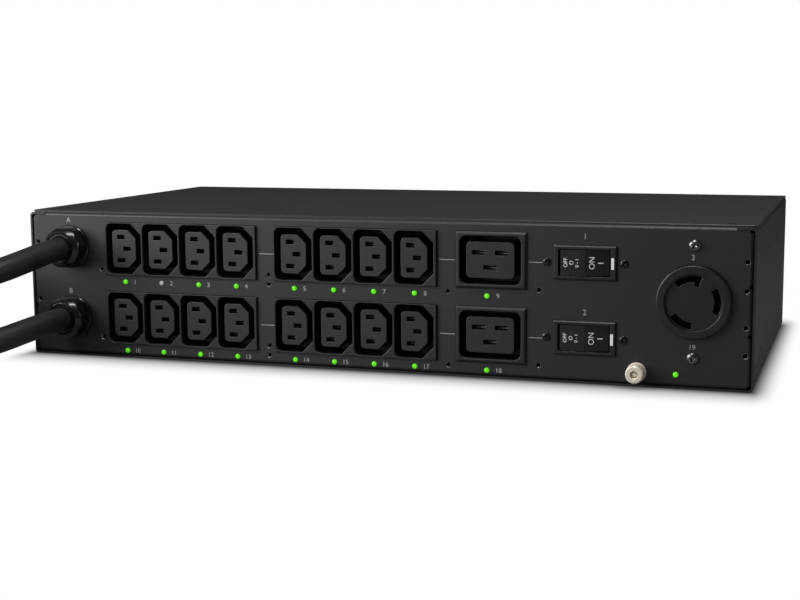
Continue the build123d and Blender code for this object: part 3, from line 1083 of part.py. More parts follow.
# Input terminal blocks: the leads end on them, and a foot stands on the left wall
with BuildPart() as input_terminals:
    for z in GLAND_Z:
        with Locations((GLAND_X, LEAD_START, z)):
            Box(TERMINAL[0], TERMINAL[1], TERMINAL[2], align=(Align.CENTER, Align.MIN, Align.CENTER))
        with Locations((-INNER_X, LEAD_START + TERMINAL[1], z)):
            Box(INNER_X + GLAND_X, 8, TERMINAL[2] * 0.7, align=(Align.MIN, Align.MAX, Align.CENTER))
write("input_terminals", input_terminals)

# Display side: module, window, keys and network ports
DISPLAY_BOARD_Y = DISPLAY_Y - DISPLAY_BOARD_BACK
WINDOW_BACK = DISPLAY_Y - WINDOW_T - 0.3
with BuildPart() as display_module:
    with Locations((DISPLAY_X, DISPLAY_BOARD_Y, DISPLAY_BOARD_Z)):
        Box(DISPLAY_BOARD[0], BOARD_T, DISPLAY_BOARD[1], align=(Align.CENTER, Align.MAX, Align.CENTER))
    with Locations((DISPLAY_X, DISPLAY_BOARD_Y, DISPLAY_Z)):
        Box(DISPLAY[0] - 1, WINDOW_BACK - DISPLAY_BOARD_Y, DISPLAY[1] - 1,
            align=(Align.CENTER, Align.MIN, Align.CENTER))
    with Locations(*[(x, DISPLAY_BOARD_Y, KEY_Z) for x in KEY_X]):
        Box(SWITCH[0], SWITCH[1], SWITCH[0], align=(Align.CENTER, Align.MIN, Align.CENTER))
    post_x, post_z = DISPLAY_BOARD[0] / 2 - 4, DISPLAY_BOARD[1] / 2 - 4
    post_at = [(DISPLAY_X + i * post_x, DISPLAY_BOARD_Y, DISPLAY_BOARD_Z + j * post_z)
               for i in (-1, 1) for j in (-1, 1)]
    with Locations(*[Location(place, (-90, 0, 0)) for place in post_at]):
        Cylinder(SPACER_R, DISPLAY_BACK - DISPLAY_BOARD_Y, align=(Align.CENTER, Align.CENTER, Align.MIN))
write("display_module", display_module)

with BuildPart() as display_window:
    with BuildSketch(face_at(WINDOW_BACK)):
        with Locations((DISPLAY_X, DISPLAY_Z)):
            RectangleRounded(DISPLAY[0] - 2 * WINDOW_PLAY, DISPLAY[1] - 2 * WINDOW_PLAY, 1.5)
    extrude(amount=-WINDOW_T)
write("display_window", display_window)

for name, x in zip(("key_left", "key_right"), KEY_X):
    with BuildPart() as key:
        switch_top = DISPLAY_BOARD_Y + SWITCH[1]
        with Locations(Location((x, DISPLAY_Y + KEY_PROUD, KEY_Z), (-90, 0, 0))):
            Cylinder(KEY_R, KEY_PROUD + PANEL_SHEET + 1.0, align=(Align.CENTER, Align.CENTER, Align.MAX))
        fillet(key.edges().group_by(Axis.Y)[-1], 0.6)
        with Locations(Location((x, DISPLAY_BACK - KEY_PLAY, KEY_Z), (-90, 0, 0))):
            Cylinder(KEY_FLANGE_R, KEY_FLANGE_T, align=(Align.CENTER, Align.CENTER, Align.MAX))
            Cylinder(1.5, DISPLAY_BACK - KEY_PLAY - switch_top - KEY_TRAVEL - 0.1,
                     align=(Align.CENTER, Align.CENTER, Align.MAX))
    write(name, key)

with BuildPart() as network_jack:
    with Locations((JACK_X, DISPLAY_Y - 0.5, FLOOR_BOARD_TOP)):
        Box(*JACK, align=(Align.CENTER, Align.MAX, Align.MIN))
    with Locations(*[(JACK_X + s, DISPLAY_Y - 0.5, JACK_Z) for s in PORT_X]):
        Box(*PORT, align=(Align.CENTER, Align.MAX, Align.CENTER), mode=Mode.SUBTRACT)
write("network_jack", network_jack)
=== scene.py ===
"""The looks of a rack static transfer switch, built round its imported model.

Each class makes and dresses one sub-assembly. Sizes are in metres, in the model's own frame: the outlet side
faces -Y, the display side faces +Y, and the origin is the middle of the base's underside.
"""

import logging
import math
from dataclasses import dataclass, field
from enum import Enum

import bmesh
import bpy
from mathutils import Matrix, Vector

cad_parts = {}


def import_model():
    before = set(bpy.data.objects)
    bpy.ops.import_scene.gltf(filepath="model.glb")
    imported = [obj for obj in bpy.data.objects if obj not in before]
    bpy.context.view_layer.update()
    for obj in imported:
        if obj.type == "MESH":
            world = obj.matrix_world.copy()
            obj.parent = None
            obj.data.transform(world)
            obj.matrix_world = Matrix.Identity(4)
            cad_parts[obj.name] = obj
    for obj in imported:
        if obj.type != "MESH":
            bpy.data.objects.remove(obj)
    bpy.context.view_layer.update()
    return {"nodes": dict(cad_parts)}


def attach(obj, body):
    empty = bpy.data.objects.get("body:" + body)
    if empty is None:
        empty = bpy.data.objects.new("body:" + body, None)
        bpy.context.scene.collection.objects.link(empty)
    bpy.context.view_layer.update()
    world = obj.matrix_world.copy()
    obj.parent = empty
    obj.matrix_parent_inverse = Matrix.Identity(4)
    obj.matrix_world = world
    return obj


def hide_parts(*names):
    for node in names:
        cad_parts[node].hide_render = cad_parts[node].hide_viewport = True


LOG = logging.getLogger("transfer_switch")
MM = 0.001
BODY = "enclosure"

# Types: the model's nodes by name, a node's socket, a place, and places with the way that each faces
Nodes = dict[str, bpy.types.Object]
Socket = bpy.types.NodeSocket
Point = tuple[float, float, float]
Spots = list[tuple[Vector, Vector]]

# The box and its outlet side, as in the model
BOX_HALF = (216.0 * MM, 118.0 * MM)
BOX_TOP = 88.0 * MM
OUTLET_Y = -BOX_HALF[1]
DISPLAY_Y = BOX_HALF[1]
ROWS = (66.0 * MM, 24.4 * MM)
STRIPS = (-114.9 * MM, -5.75 * MM)
SOCKET_SHIFT = -0.75 * MM
SOCKET_PITCH = 24.2 * MM
BIG_SOCKET_X = 73.75 * MM
MODULE_FACE = OUTLET_Y - 1.5 * MM
ISLAND_FACE = MODULE_FACE + 0.8 * MM
LAMP_DROP = 19.9 * MM
BREAKERS = ((126.2 * MM, 66.1 * MM), (126.2 * MM, 25.0 * MM))
LOCK = (184.2 * MM, 47.0 * MM)

# How thick a print is, and how far its middle stands off the face that it is on
INK = 0.03 * MM


class Side(Enum):
    """The two long sides, with the turn that lays flat artwork on each."""

    OUTLET = 0.0
    DISPLAY = math.pi


class Drive(Enum):
    """How a screw's head stands on its sheet."""

    PAN = "pan"
    FLUSH = "flush"


def linear(hex_colour: str) -> tuple[float, float, float, float]:
    """Turn an sRGB hex colour into linear RGBA.

    Args:
        hex_colour: six hex digits after a #.

    Returns:
        Four linear channels, alpha 1.
    """
    channels = [int(hex_colour[i:i + 2], 16) / 255 for i in (1, 3, 5)]
    return (*[c / 12.92 if c <= 0.04045 else ((c + 0.055) / 1.055) ** 2.4 for c in channels], 1.0)


def per_metre(size: float) -> float:
    """How many times a pattern of a size in millimetres repeats in a metre, which is its texture's scale."""
    return 1000 / size


def empty_tree(owner: bpy.types.Material | bpy.types.World) -> bpy.types.NodeTree:
    """Switch on the nodes of a material or a world and clear them.

    Args:
        owner: the material or world.

    Returns:
        Its tree, with no node.
    """
    owner.use_nodes = True
    owner.node_tree.nodes.clear()
    return owner.node_tree


def add_node(tree: bpy.types.NodeTree, kind: str, inputs: dict | None = None, **settings) -> bpy.types.Node:
    """Add a node with its settings, and fill or link its inputs.

    Args:
        tree: the tree that takes the node.
        kind: the node's type name.
        inputs: socket name or index, to a value or to an output socket to link.
        **settings: properties of the node.

    Returns:
        The new node.
    """
    made = tree.nodes.new(kind)
    for key, value in settings.items():
        setattr(made, key, value)
    for key, value in (inputs or {}).items():
        if isinstance(value, Socket):
            tree.links.new(value, made.inputs[key])
        else:
            made.inputs[key].default_value = value
    return made


@dataclass(frozen=True)
class Finish:
    """A surface: two close tones in soft patches, a grain that shows as bump, and a gloss that varies.

    grain and patch are real sizes, relief is the grain's height, and edge is the radius that the mould leaves
    on an edge, all in millimetres.
    """

    name: str
    tone: str
    second: str
    roughness: float
    metallic: float = 0.0
    grain: float = 0.6
    relief: float = 0.02
    patch: float = 30.0
    roughness_spread: float = 0.06
    coat: float = 0.0
    coat_roughness: float = 0.08
    edge: float = 0.0
    gloss_share: float = 0.625  # size of the gloss's patches over that of the tones' patches
    cloud_range: tuple[float, float] = (0.3, 0.7)  # where most values of a soft noise lie

    def start(self) -> tuple[bpy.types.Material, bpy.types.NodeTree, Socket, bpy.types.Node]:
        """Make the material, its object coordinates and its shader.

        Returns:
            The material, its tree, the coordinates' socket and the shader node.
        """
        material = bpy.data.materials.new(self.name)
        tree = empty_tree(material)
        place = add_node(tree, "ShaderNodeTexCoord").outputs["Object"]
        shader = add_node(tree, "ShaderNodeBsdfPrincipled", {
            "Metallic": self.metallic, "Coat Weight": self.coat, "Coat Roughness": self.coat_roughness})
        add_node(tree, "ShaderNodeOutputMaterial", {"Surface": shader.outputs["BSDF"]})
        return material, tree, place, shader

    def tint(self, tree: bpy.types.NodeTree, place: Socket) -> Socket:
        """Mix the two tones in soft patches.

        Args:
            tree: the material's tree.
            place: the coordinates.

        Returns:
            The colour's socket.
        """
        cloud = add_node(tree, "ShaderNodeTexNoise", {
            "Vector": place, "Scale": per_metre(self.patch), "Detail": 3.0})
        mix = add_node(tree, "ShaderNodeMix", {
            0: cloud.outputs["Fac"], 6: linear(self.tone), 7: linear(self.second)}, data_type="RGBA")
        return mix.outputs[2]

    def height(self, tree: bpy.types.NodeTree, place: Socket) -> Socket:
        """Give the grain's height, from 0 to 1.

        Args:
            tree: the material's tree.
            place: the coordinates.

        Returns:
            The height's socket.
        """
        return add_node(tree, "ShaderNodeTexNoise", {
            "Vector": place, "Scale": per_metre(self.grain), "Detail": 2.0}).outputs["Fac"]

    def bumps(self, tree: bpy.types.NodeTree, place: Socket) -> Socket:
        """Turn the grain's height into a bump, over rounded edges where the finish has them.

        Args:
            tree: the material's tree.
            place: the coordinates.

        Returns:
            The normal's socket.
        """
        bump = add_node(tree, "ShaderNodeBump", {
            "Height": self.height(tree, place), "Strength": 1.0, "Distance": self.relief * MM})
        if self.edge:
            rounded = add_node(tree, "ShaderNodeBevel", {"Radius": self.edge * MM}, samples=8)
            tree.links.new(rounded.outputs["Normal"], bump.inputs["Normal"])
        return bump.outputs["Normal"]

    def build(self) -> bpy.types.Material:
        """Make the whole material.

        Returns:
            The material.
        """
        material, tree, place, shader = self.start()
        tree.links.new(self.tint(tree, place), shader.inputs["Base Color"])
        tree.links.new(self.bumps(tree, place), shader.inputs["Normal"])
        cloud = add_node(tree, "ShaderNodeTexNoise", {
            "Vector": place, "Scale": per_metre(self.patch * self.gloss_share), "Detail": 2.0})
        low, high = self.cloud_range
        gloss = add_node(tree, "ShaderNodeMapRange", {
            "Value": cloud.outputs["Fac"], "From Min": low, "From Max": high,
            "To Min": self.roughness - self.roughness_spread,
            "To Max": self.roughness + self.roughness_spread})
        tree.links.new(gloss.outputs["Result"], shader.inputs["Roughness"])
        return material


@dataclass(frozen=True)
class OutletPlastic(Finish):
    """Moulded polyamide of the outlet strips: the islands' faces are paler than the plate round them, and the
    recesses carry painted shade.
    """

    island: str = "#18181a"
    # painted shade: near black for the recesses, which are dark only because little light gets in
    deep: str = "#030303"
    island_depth: tuple[float, float] = (MODULE_FACE + 0.35 * MM, MODULE_FACE + 0.75 * MM)
    deep_depth: tuple[float, float] = (ISLAND_FACE + 0.2 * MM, ISLAND_FACE + 2.5 * MM)

    def tint(self, tree: bpy.types.NodeTree, place: Socket) -> Socket:
        """Tell the plate and the islands apart by their depth along Y, and paint shade into the recesses
        behind them.

        Args:
            tree: the material's tree.
            place: the coordinates.

        Returns:
            The colour's socket.
        """
        colour = Finish.tint(self, tree, place)
        depth = add_node(tree, "ShaderNodeSeparateXYZ", {"Vector": place}).outputs["Y"]
        # first the islands' own paler tone, then painted shade that deepens into the recesses
        for tone, (start, end) in ((self.island, self.island_depth), (self.deep, self.deep_depth)):
            share = add_node(tree, "ShaderNodeMapRange", {"Value": depth, "From Min": start, "From Max": end},
                             clamp=True)
            colour = add_node(tree, "ShaderNodeMix", {0: share.outputs["Result"], 6: colour, 7: linear(tone)},
                              data_type="RGBA").outputs[2]
        return colour


@dataclass(frozen=True)
class LampLens(Finish):
    """Cast epoxy lens with its light inside: it glows from the middle, darkens to painted shade at its rim,
    and stays glossy.
    """

    glow: float = 0.0
    # how soon the painted shade sets in towards the lens's rim
    rim: float = 0.65

    def build(self) -> bpy.types.Material:
        """Make the lens, brighter where its nose faces the view, with painted shade where it turns away.

        Returns:
            The material.
        """
        material, tree, _, shader = self.start()
        # painted shade: colour and glow fall to the second tone as the surface turns from the view
        facing = add_node(tree, "ShaderNodeLayerWeight", {"Blend": self.rim}).outputs["Facing"]
        mix = add_node(tree, "ShaderNodeMix", {0: facing, 6: linear(self.tone), 7: linear(self.second)},
                       data_type="RGBA").outputs[2]
        tree.links.new(mix, shader.inputs["Base Color"])
        tree.links.new(mix, shader.inputs["Emission Color"])
        shader.inputs["Emission Strength"].default_value = self.glow
        shader.inputs["Roughness"].default_value = self.roughness
        return material


@dataclass(frozen=True)
class LinedMetal(Finish):
    """Metal with fine lines along one axis, as an extrusion die or a lathe tool leaves them."""

    line_axis: int = 0
    line_pitch: float = 0.5
    line_waves: float = 12.0  # how often a line swells in a metre of its length

    def height(self, tree: bpy.types.NodeTree, place: Socket) -> Socket:
        """Stretch the grain along the line's axis.

        Args:
            tree: the material's tree.
            place: the coordinates.

        Returns:
            The height's socket.
        """
        scale = [per_metre(self.line_pitch)] * 3
        scale[self.line_axis] = self.line_waves
        mapped = add_node(tree, "ShaderNodeMapping", {"Vector": place, "Scale": scale})
        return add_node(tree, "ShaderNodeTexNoise", {
            "Vector": mapped.outputs["Vector"], "Scale": 1.0, "Detail": 2.0}).outputs["Fac"]


@dataclass(frozen=True)
class Webbing(Finish):
    """Woven hook and loop strap: a plain weave that crosses at right angles."""

    # a strap's real thread is about 0.4 mm: it is drawn three times as coarse, so that it shows
    thread: float = 1.2

    def height(self, tree: bpy.types.NodeTree, place: Socket) -> Socket:
        """Raise the threads as crossed waves.

        Args:
            tree: the material's tree.
            place: the coordinates.

        Returns:
            The height's socket.
        """
        x, y, z = [add_node(tree, "ShaderNodeTexWave", {
            "Vector": place, "Scale": per_metre(self.thread) / math.tau},
            bands_direction=axis).outputs["Fac"] for axis in "XYZ"]
        first = add_node(tree, "ShaderNodeMath", {0: x, 1: y}, operation="MAXIMUM").outputs[0]
        return add_node(tree, "ShaderNodeMath", {0: first, 1: z}, operation="MAXIMUM").outputs[0]


@dataclass(frozen=True)
class SmokedWindow(Finish):
    """Smoked window over a character display: two rows of cells stand just off the black behind it."""

    glass: str = "#10231b"
    cell: str = "#0b1712"
    middle: tuple[float, float] = (-120.0 * MM, 58.0 * MM)
    reach: tuple[float, float] = (25.6 * MM, 6.0 * MM)
    cell_width: float = 3.2 * MM
    cell_height: float = 6.0 * MM
    cell_gap: float = 0.35 * MM

    def tint(self, tree: bpy.types.NodeTree, place: Socket) -> Socket:
        """Lay the cells over the middle of the window and leave its border black.

        Args:
            tree: the material's tree.
            place: the coordinates.

        Returns:
            The colour's socket.
        """
        split = add_node(tree, "ShaderNodeSeparateXYZ", {"Vector": place}).outputs
        across, up = [add_node(tree, "ShaderNodeMath", {0: split[axis], 1: middle},
                               operation="SUBTRACT").outputs[0] for axis, middle in zip("XZ", self.middle)]
        cells = add_node(tree, "ShaderNodeCombineXYZ", {"X": across, "Y": up})
        bricks = add_node(tree, "ShaderNodeTexBrick", {
            "Vector": cells.outputs["Vector"], "Scale": 1.0, "Mortar Size": self.cell_gap,
            "Mortar Smooth": 0.2, "Brick Width": self.cell_width, "Row Height": self.cell_height,
            "Color1": linear(self.cell), "Color2": linear(self.cell), "Mortar": linear(self.glass)},
            offset=0.0)
        inside = []
        for away, reach in zip((across, up), self.reach):
            away = add_node(tree, "ShaderNodeMath", {0: away}, operation="ABSOLUTE").outputs[0]
            inside.append(add_node(tree, "ShaderNodeMath", {0: away, 1: reach},
                                   operation="LESS_THAN").outputs[0])
        both = add_node(tree, "ShaderNodeMath", {0: inside[0], 1: inside[1]}, operation="MULTIPLY")
        mix = add_node(tree, "ShaderNodeMix", {
            0: both.outputs[0], 6: linear(self.tone), 7: bricks.outputs["Color"]}, data_type="RGBA")
        return mix.outputs[2]


@dataclass(frozen=True)
class CircuitBoard(Finish):
    """FR4 laminate under solder mask: tracks show as a slightly paler pattern of straight runs."""

    track: float = 4.0
    track_width: float = 0.08  # this and the next two count in tracks
    run: float = 3.0
    row: float = 0.6

    def tint(self, tree: bpy.types.NodeTree, place: Socket) -> Socket:
        """Draw the tracks.

        Args:
            tree: the material's tree.
            place: the coordinates.

        Returns:
            The colour's socket.
        """
        bricks = add_node(tree, "ShaderNodeTexBrick", {
            "Vector": place, "Scale": per_metre(self.track), "Mortar Size": self.track_width,
            "Brick Width": self.run, "Row Height": self.row, "Color1": linear(self.tone),
            "Color2": linear(self.tone), "Mortar": linear(self.second)})
        return bricks.outputs["Color"]


class Finishes:
    """Every finish of the unit, made once and shared."""

    def __init__(self) -> None:
        """Make the materials."""
        # black polyester powder coat on steel: dark grey in light, its fine orange peel breaks up glare
        self.powder = Finish("black_powder_coat", "#1a1a1b", "#1c1c1d", 0.5, grain=0.9, relief=0.012,
                             patch=120.0, roughness_spread=0.012).build()
        # moulded polyamide of the outlets: eroded plate, smoother islands, and painted shade in the recesses
        self.outlet = OutletPlastic("moulded_polyamide", "#121213", "#151516", 0.5, grain=0.5, relief=0.01,
                                    patch=20.0, edge=0.5).build()
        # breakers and receptacle: black polyamide with a little more gloss
        self.moulded = Finish("black_moulded_polyamide", "#121213", "#171718", 0.42, grain=0.5,
                              relief=0.008, patch=15.0, edge=0.5).build()
        # moulded polycarbonate rockers: a finer mould, so a little glossier than their bezels
        self.rocker = Finish("black_rocker_polycarbonate", "#131314", "#161617", 0.36, grain=0.4,
                             relief=0.005, patch=15.0).build()
        # gland nylon: polished mould, so it carries sharp lights
        self.gland = Finish("black_gland_nylon", "#0b0b0c", "#101011", 0.24, grain=1.5, relief=0.006,
                            patch=12.0, coat=0.25).build()
        # lead jacket: extruded matt rubber, faintly dusty
        self.jacket = Finish("black_rubber_jacket", "#0c0c0c", "#141414", 0.55, grain=1.2, relief=0.03,
                             patch=25.0, roughness_spread=0.08).build()
        # black oxide on steel screws: dark, with the metal's lights still in it
        self.oxide = Finish("black_oxide_steel", "#2a2a2b", "#36363a", 0.3, metallic=0.8, grain=0.4,
                            relief=0.008, patch=3.0).build()
        # satin nickel on the turned terminal: warm, with turning lines
        self.nickel = LinedMetal("satin_nickel", "#e9e0cc", "#f2ebdc", 0.36, metallic=0.3, relief=0.01,
                                 patch=4.0, line_pitch=0.6).build()
        # the receptacle's screws carry bright nickel that mirrors the dark panel
        self.bright = Finish("bright_plated_screw", "#6b6a68", "#7a7977", 0.33, metallic=1.0, grain=0.5,
                             relief=0.006, patch=3.0).build()
        # zinc plate on steel bushes, spacers and the strap: cool grey with a soft spangle
        self.zinc = Finish("zinc_plated_steel", "#8d8f92", "#a3a4a6", 0.38, metallic=1.0, grain=2.0,
                           relief=0.01, patch=6.0).build()
        # tinned contacts: bright enough to catch a line of light in the slots
        self.contact = Finish("tinned_brass", "#e6e3da", "#f0ede4", 0.42, metallic=0.25, relief=0.01,
                              patch=3.0).build()
        # the locking receptacle's jaws: brass darkened to painted shade, as they sit deep in the slots
        self.jaw = Finish("brass_in_painted_shade", "#3d3527", "#4a4130", 0.45, metallic=1.0, relief=0.01,
                          patch=3.0).build()
        # extruded aluminium sink: pale metal, its die lines draw the lights out along the fins
        self.aluminium = LinedMetal("extruded_aluminium", "#a8abae", "#b9bbbd", 0.42, metallic=1.0,
                                    line_pitch=0.8).build()
        # green solder mask: satin, with paler tracks under it
        self.board = CircuitBoard("green_solder_mask", "#0f3a22", "#1b5a34", 0.35, relief=0.01).build()
        # polyester film: milky, smooth and a little wavy
        self.film = Finish("insulating_film", "#c9c6b8", "#d4d1c4", 0.4, grain=3.0, relief=0.01).build()
        # varnished core sheets: brown grey, with the stack's edges as fine lines
        self.lamination = LinedMetal("varnished_laminations", "#4d4a48", "#5c5956", 0.45, metallic=0.8,
                                     line_axis=2).build()
        # polyester winding tape: strong yellow with a soft shine
        self.tape = Finish("yellow_winding_tape", "#b98d1e", "#cda331", 0.4, grain=1.5).build()
        # moulded epoxy packages: dull black with a fine grain
        self.epoxy = Finish("black_epoxy_package", "#131314", "#19191a", 0.5, grain=0.3,
                            relief=0.006).build()
        # moulded relay casings: smooth dark blue
        self.relay = Finish("relay_casing", "#1c2f55", "#213663", 0.35, grain=0.8, relief=0.006).build()
        # woven polyamide strap: matt, with its threads raised
        self.webbing = Webbing("woven_strap", "#101011", "#17171a", 0.75, relief=0.15, patch=10.0).build()
        # moulded ABS keys and plug faces: mid grey with a fine mould grain
        self.key = Finish("grey_key_plastic", "#3a3a3d", "#404044", 0.4, grain=0.4, relief=0.006).build()
        # display window: polished smoked sheet, with the display's dark green glass behind it
        self.window = SmokedWindow("smoked_polycarbonate", "#0a0d0c", "#0d100f", 0.09, grain=6.0,
                                   relief=0.004, roughness_spread=0.02, coat=0.5).build()
        # gold flash on the network ports' sprung wires: warm and bright
        self.gold = Finish("gold_plated_wire", "#c9a24a", "#d6b05a", 0.25, metallic=1.0, grain=0.4,
                           relief=0.004, patch=3.0).build()
        # green lamps glow from inside; the one that is off is a milky grey with a faint painted glow
        # both lenses darken to painted shade towards the rim
        self.lit = LampLens("green_lamp_lens", "#5ccf18", "#0a5c05", 0.16, glow=0.75).build()
        self.unlit = LampLens("grey_lamp_lens", "#bbb6b2", "#6f6a68", 0.2, glow=0.04).build()
        # screen print: dull pale grey ink
        self.ink = Finish("grey_screen_ink", "#9a9ea1", "#a8abae", 0.6, grain=0.5, relief=0.004).build()
        # pad print on the rockers and keys: clean white, a touch smoother
        self.white_ink = Finish("white_pad_print", "#e4e4e2", "#efefed", 0.55, grain=0.5,
                                relief=0.004).build()


def dress(nodes: Nodes, material: bpy.types.Material, *names: str) -> None:
    """Put one material on every slot of some nodes.

    Args:
        nodes: the model's nodes by name.
        material: the finish.
        *names: the nodes that wear it.
    """
    for name in names:
        nodes[name].data.materials.clear()
        nodes[name].data.materials.append(material)


def add_object(name: str, data: bpy.types.ID) -> bpy.types.Object:
    """Make an object of some data and put it in the scene.

    Args:
        name: the object's name.
        data: its mesh, curve, light or camera.

    Returns:
        The object.
    """
    made = bpy.data.objects.new(name, data)
    bpy.context.scene.collection.objects.link(made)
    return made


def mesh_piece(name: str, mesh: bpy.types.Mesh, material: bpy.types.Material,
               body: str = BODY) -> bpy.types.Object:
    """Turn a finished mesh into a piece that rides on a body.

    Args:
        name: the piece's name.
        mesh: its mesh, already in place.
        material: its finish.
        body: the body that it rides on.

    Returns:
        The piece.
    """
    mesh.name = name
    mesh.materials.clear()
    mesh.materials.append(material)
    piece = add_object(name, mesh)
    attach(piece, body)
    return piece


def settle(source: bpy.types.Object) -> bpy.types.Mesh:
    """Take an object's evaluated shape as a plain mesh and remove the object.

    Args:
        source: an object with its modifiers or text.

    Returns:
        The mesh.
    """
    bpy.context.view_layer.update()
    graph = bpy.context.evaluated_depsgraph_get()
    mesh = bpy.data.meshes.new_from_object(source.evaluated_get(graph), depsgraph=graph)
    bpy.data.objects.remove(source)
    return mesh


def bridge(shell: bmesh.types.BMesh, loops: list[list[bmesh.types.BMVert]]) -> None:
    """Join each loop of points to the next one with quads.

    Args:
        shell: the bmesh that takes the faces.
        loops: closed loops with the same number of points.
    """
    for low, high in zip(loops, loops[1:]):
        for i in range(len(low)):
            shell.faces.new((low[i], low[i - 1], high[i - 1], high[i]))


def keep_mesh(shell: bmesh.types.BMesh, name: str, sharp: float | None = None) -> bpy.types.Mesh:
    """Take a bmesh as a mesh and free it.

    Args:
        shell: the bmesh.
        name: the mesh's name.
        sharp: an angle in degrees: the mesh is shaded smooth, apart from edges that turn by more.

    Returns:
        The mesh.
    """
    mesh = bpy.data.meshes.new(name)
    shell.to_mesh(mesh)
    shell.free()
    if sharp is not None:
        mesh.shade_smooth()
        mesh.set_sharp_from_angle(angle=math.radians(sharp))
    return mesh


def new_tree(name: str, inputs: dict[str, str]) -> bpy.types.NodeTree:
    """Start a geometry tree with named inputs.

    Args:
        name: the tree's name.
        inputs: each input's name, with the last word of its socket's type.

    Returns:
        The tree, with one output named Made.
    """
    tree = bpy.data.node_groups.new(name, "GeometryNodeTree")
    for label, kind in inputs.items():
        tree.interface.new_socket(label, in_out="INPUT", socket_type=f"NodeSocket{kind}")
    tree.interface.new_socket("Made", in_out="OUTPUT", socket_type="NodeSocketGeometry")
    return tree


def end_tree(tree: bpy.types.NodeTree, instances: Socket, finish: Socket) -> None:
    """Make the instances real, give them their finish and lead them out of the tree.

    Args:
        tree: the geometry tree.
        instances: what it has set out.
        finish: the material's socket.
    """
    real = add_node(tree, "GeometryNodeRealizeInstances", {"Geometry": instances})
    dressed = add_node(tree, "GeometryNodeSetMaterial", {
        "Geometry": real.outputs["Geometry"], "Material": finish})
    add_node(tree, "NodeGroupOutput", {"Made": dressed.outputs["Geometry"]})


def run_tree(tree: bpy.types.NodeTree, points: bpy.types.Mesh, pattern: bpy.types.Mesh,
             inputs: dict[str, object]) -> bpy.types.Mesh:
    """Run a geometry tree on loose points and take what it makes as a plain mesh.

    Args:
        tree: the tree, whose input named Pattern takes the shape that repeats.
        points: the points.
        pattern: the shape that repeats.
        inputs: the tree's other inputs by name.

    Returns:
        The mesh.
    """
    shape = add_object("pattern", pattern)
    holder = add_object("points", points)
    modifier = holder.modifiers.new("tree", "NODES")
    modifier.node_group = tree
    sockets = {item.name: item.identifier for item in tree.interface.items_tree
               if item.in_out == "INPUT"}
    modifier[sockets["Pattern"]] = shape
    for name, value in inputs.items():
        modifier[sockets[name]] = value
    mesh = settle(holder)
    bpy.data.objects.remove(shape)
    return mesh


@dataclass(frozen=True)
class Mark:
    """One word or number: its text, its place across and up, its letter height and its turn in degrees."""

    text: str
    x: float
    z: float
    height: float = 3.0 * MM
    turn: float = 0.0


@dataclass(frozen=True)
class Bar:
    """One printed bar: its place across and up, and its size."""

    x: float
    z: float
    width: float
    height: float


@dataclass
class Print:
    """Flat artwork on a plane: words and bars joined to one thin mesh."""

    marks: list[Mark] = field(default_factory=list)
    bars: list[Bar] = field(default_factory=list)
    cap_share: float = 0.7  # a capital's height as a share of the font's size

    def mesh(self, place: Matrix) -> bpy.types.Mesh:
        """Build the artwork in its own plane, x across and y up, then put it in place.

        Args:
            place: takes the artwork's plane into the model's frame, +Z being the side that is read.

        Returns:
            The joined mesh.
        """
        whole = bmesh.new()
        for mark in self.marks:
            curve = bpy.data.curves.new("word", "FONT")
            curve.body = mark.text
            curve.size = mark.height / self.cap_share
            curve.align_x = "CENTER"
            curve.align_y = "CENTER"
            curve.extrude = INK / 2
            curve.resolution_u = 3
            word = settle(add_object("word", curve))
            word.transform(Matrix.Translation((mark.x, mark.z, 0))
                           @ Matrix.Rotation(math.radians(mark.turn), 4, "Z"))
            whole.from_mesh(word)
            bpy.data.meshes.remove(word)
        for bar in self.bars:
            made = bmesh.ops.create_cube(whole, size=1.0)
            bmesh.ops.transform(whole, verts=made["verts"], matrix=Matrix.Translation((bar.x, bar.z, 0))
                                @ Matrix.Diagonal((bar.width, bar.height, INK, 1.0)))
        mesh = keep_mesh(whole, "print")
        mesh.transform(place)
        return mesh


def on_side(side: Side, y: float, proud: float = INK) -> Matrix:
    """The placement of artwork on one long side.

    Args:
        side: which side.
        y: the face's place along Y.
        proud: how far the artwork's middle stands off the face.

    Returns:
        The matrix, with x across as read from outside and y up.
    """
    out = -1.0 if side is Side.OUTLET else 1.0
    return (Matrix.Translation((0, y + out * proud, 0)) @ Matrix.Rotation(side.value, 4, "Z")
            @ Matrix.Rotation(math.pi / 2, 4, "X"))


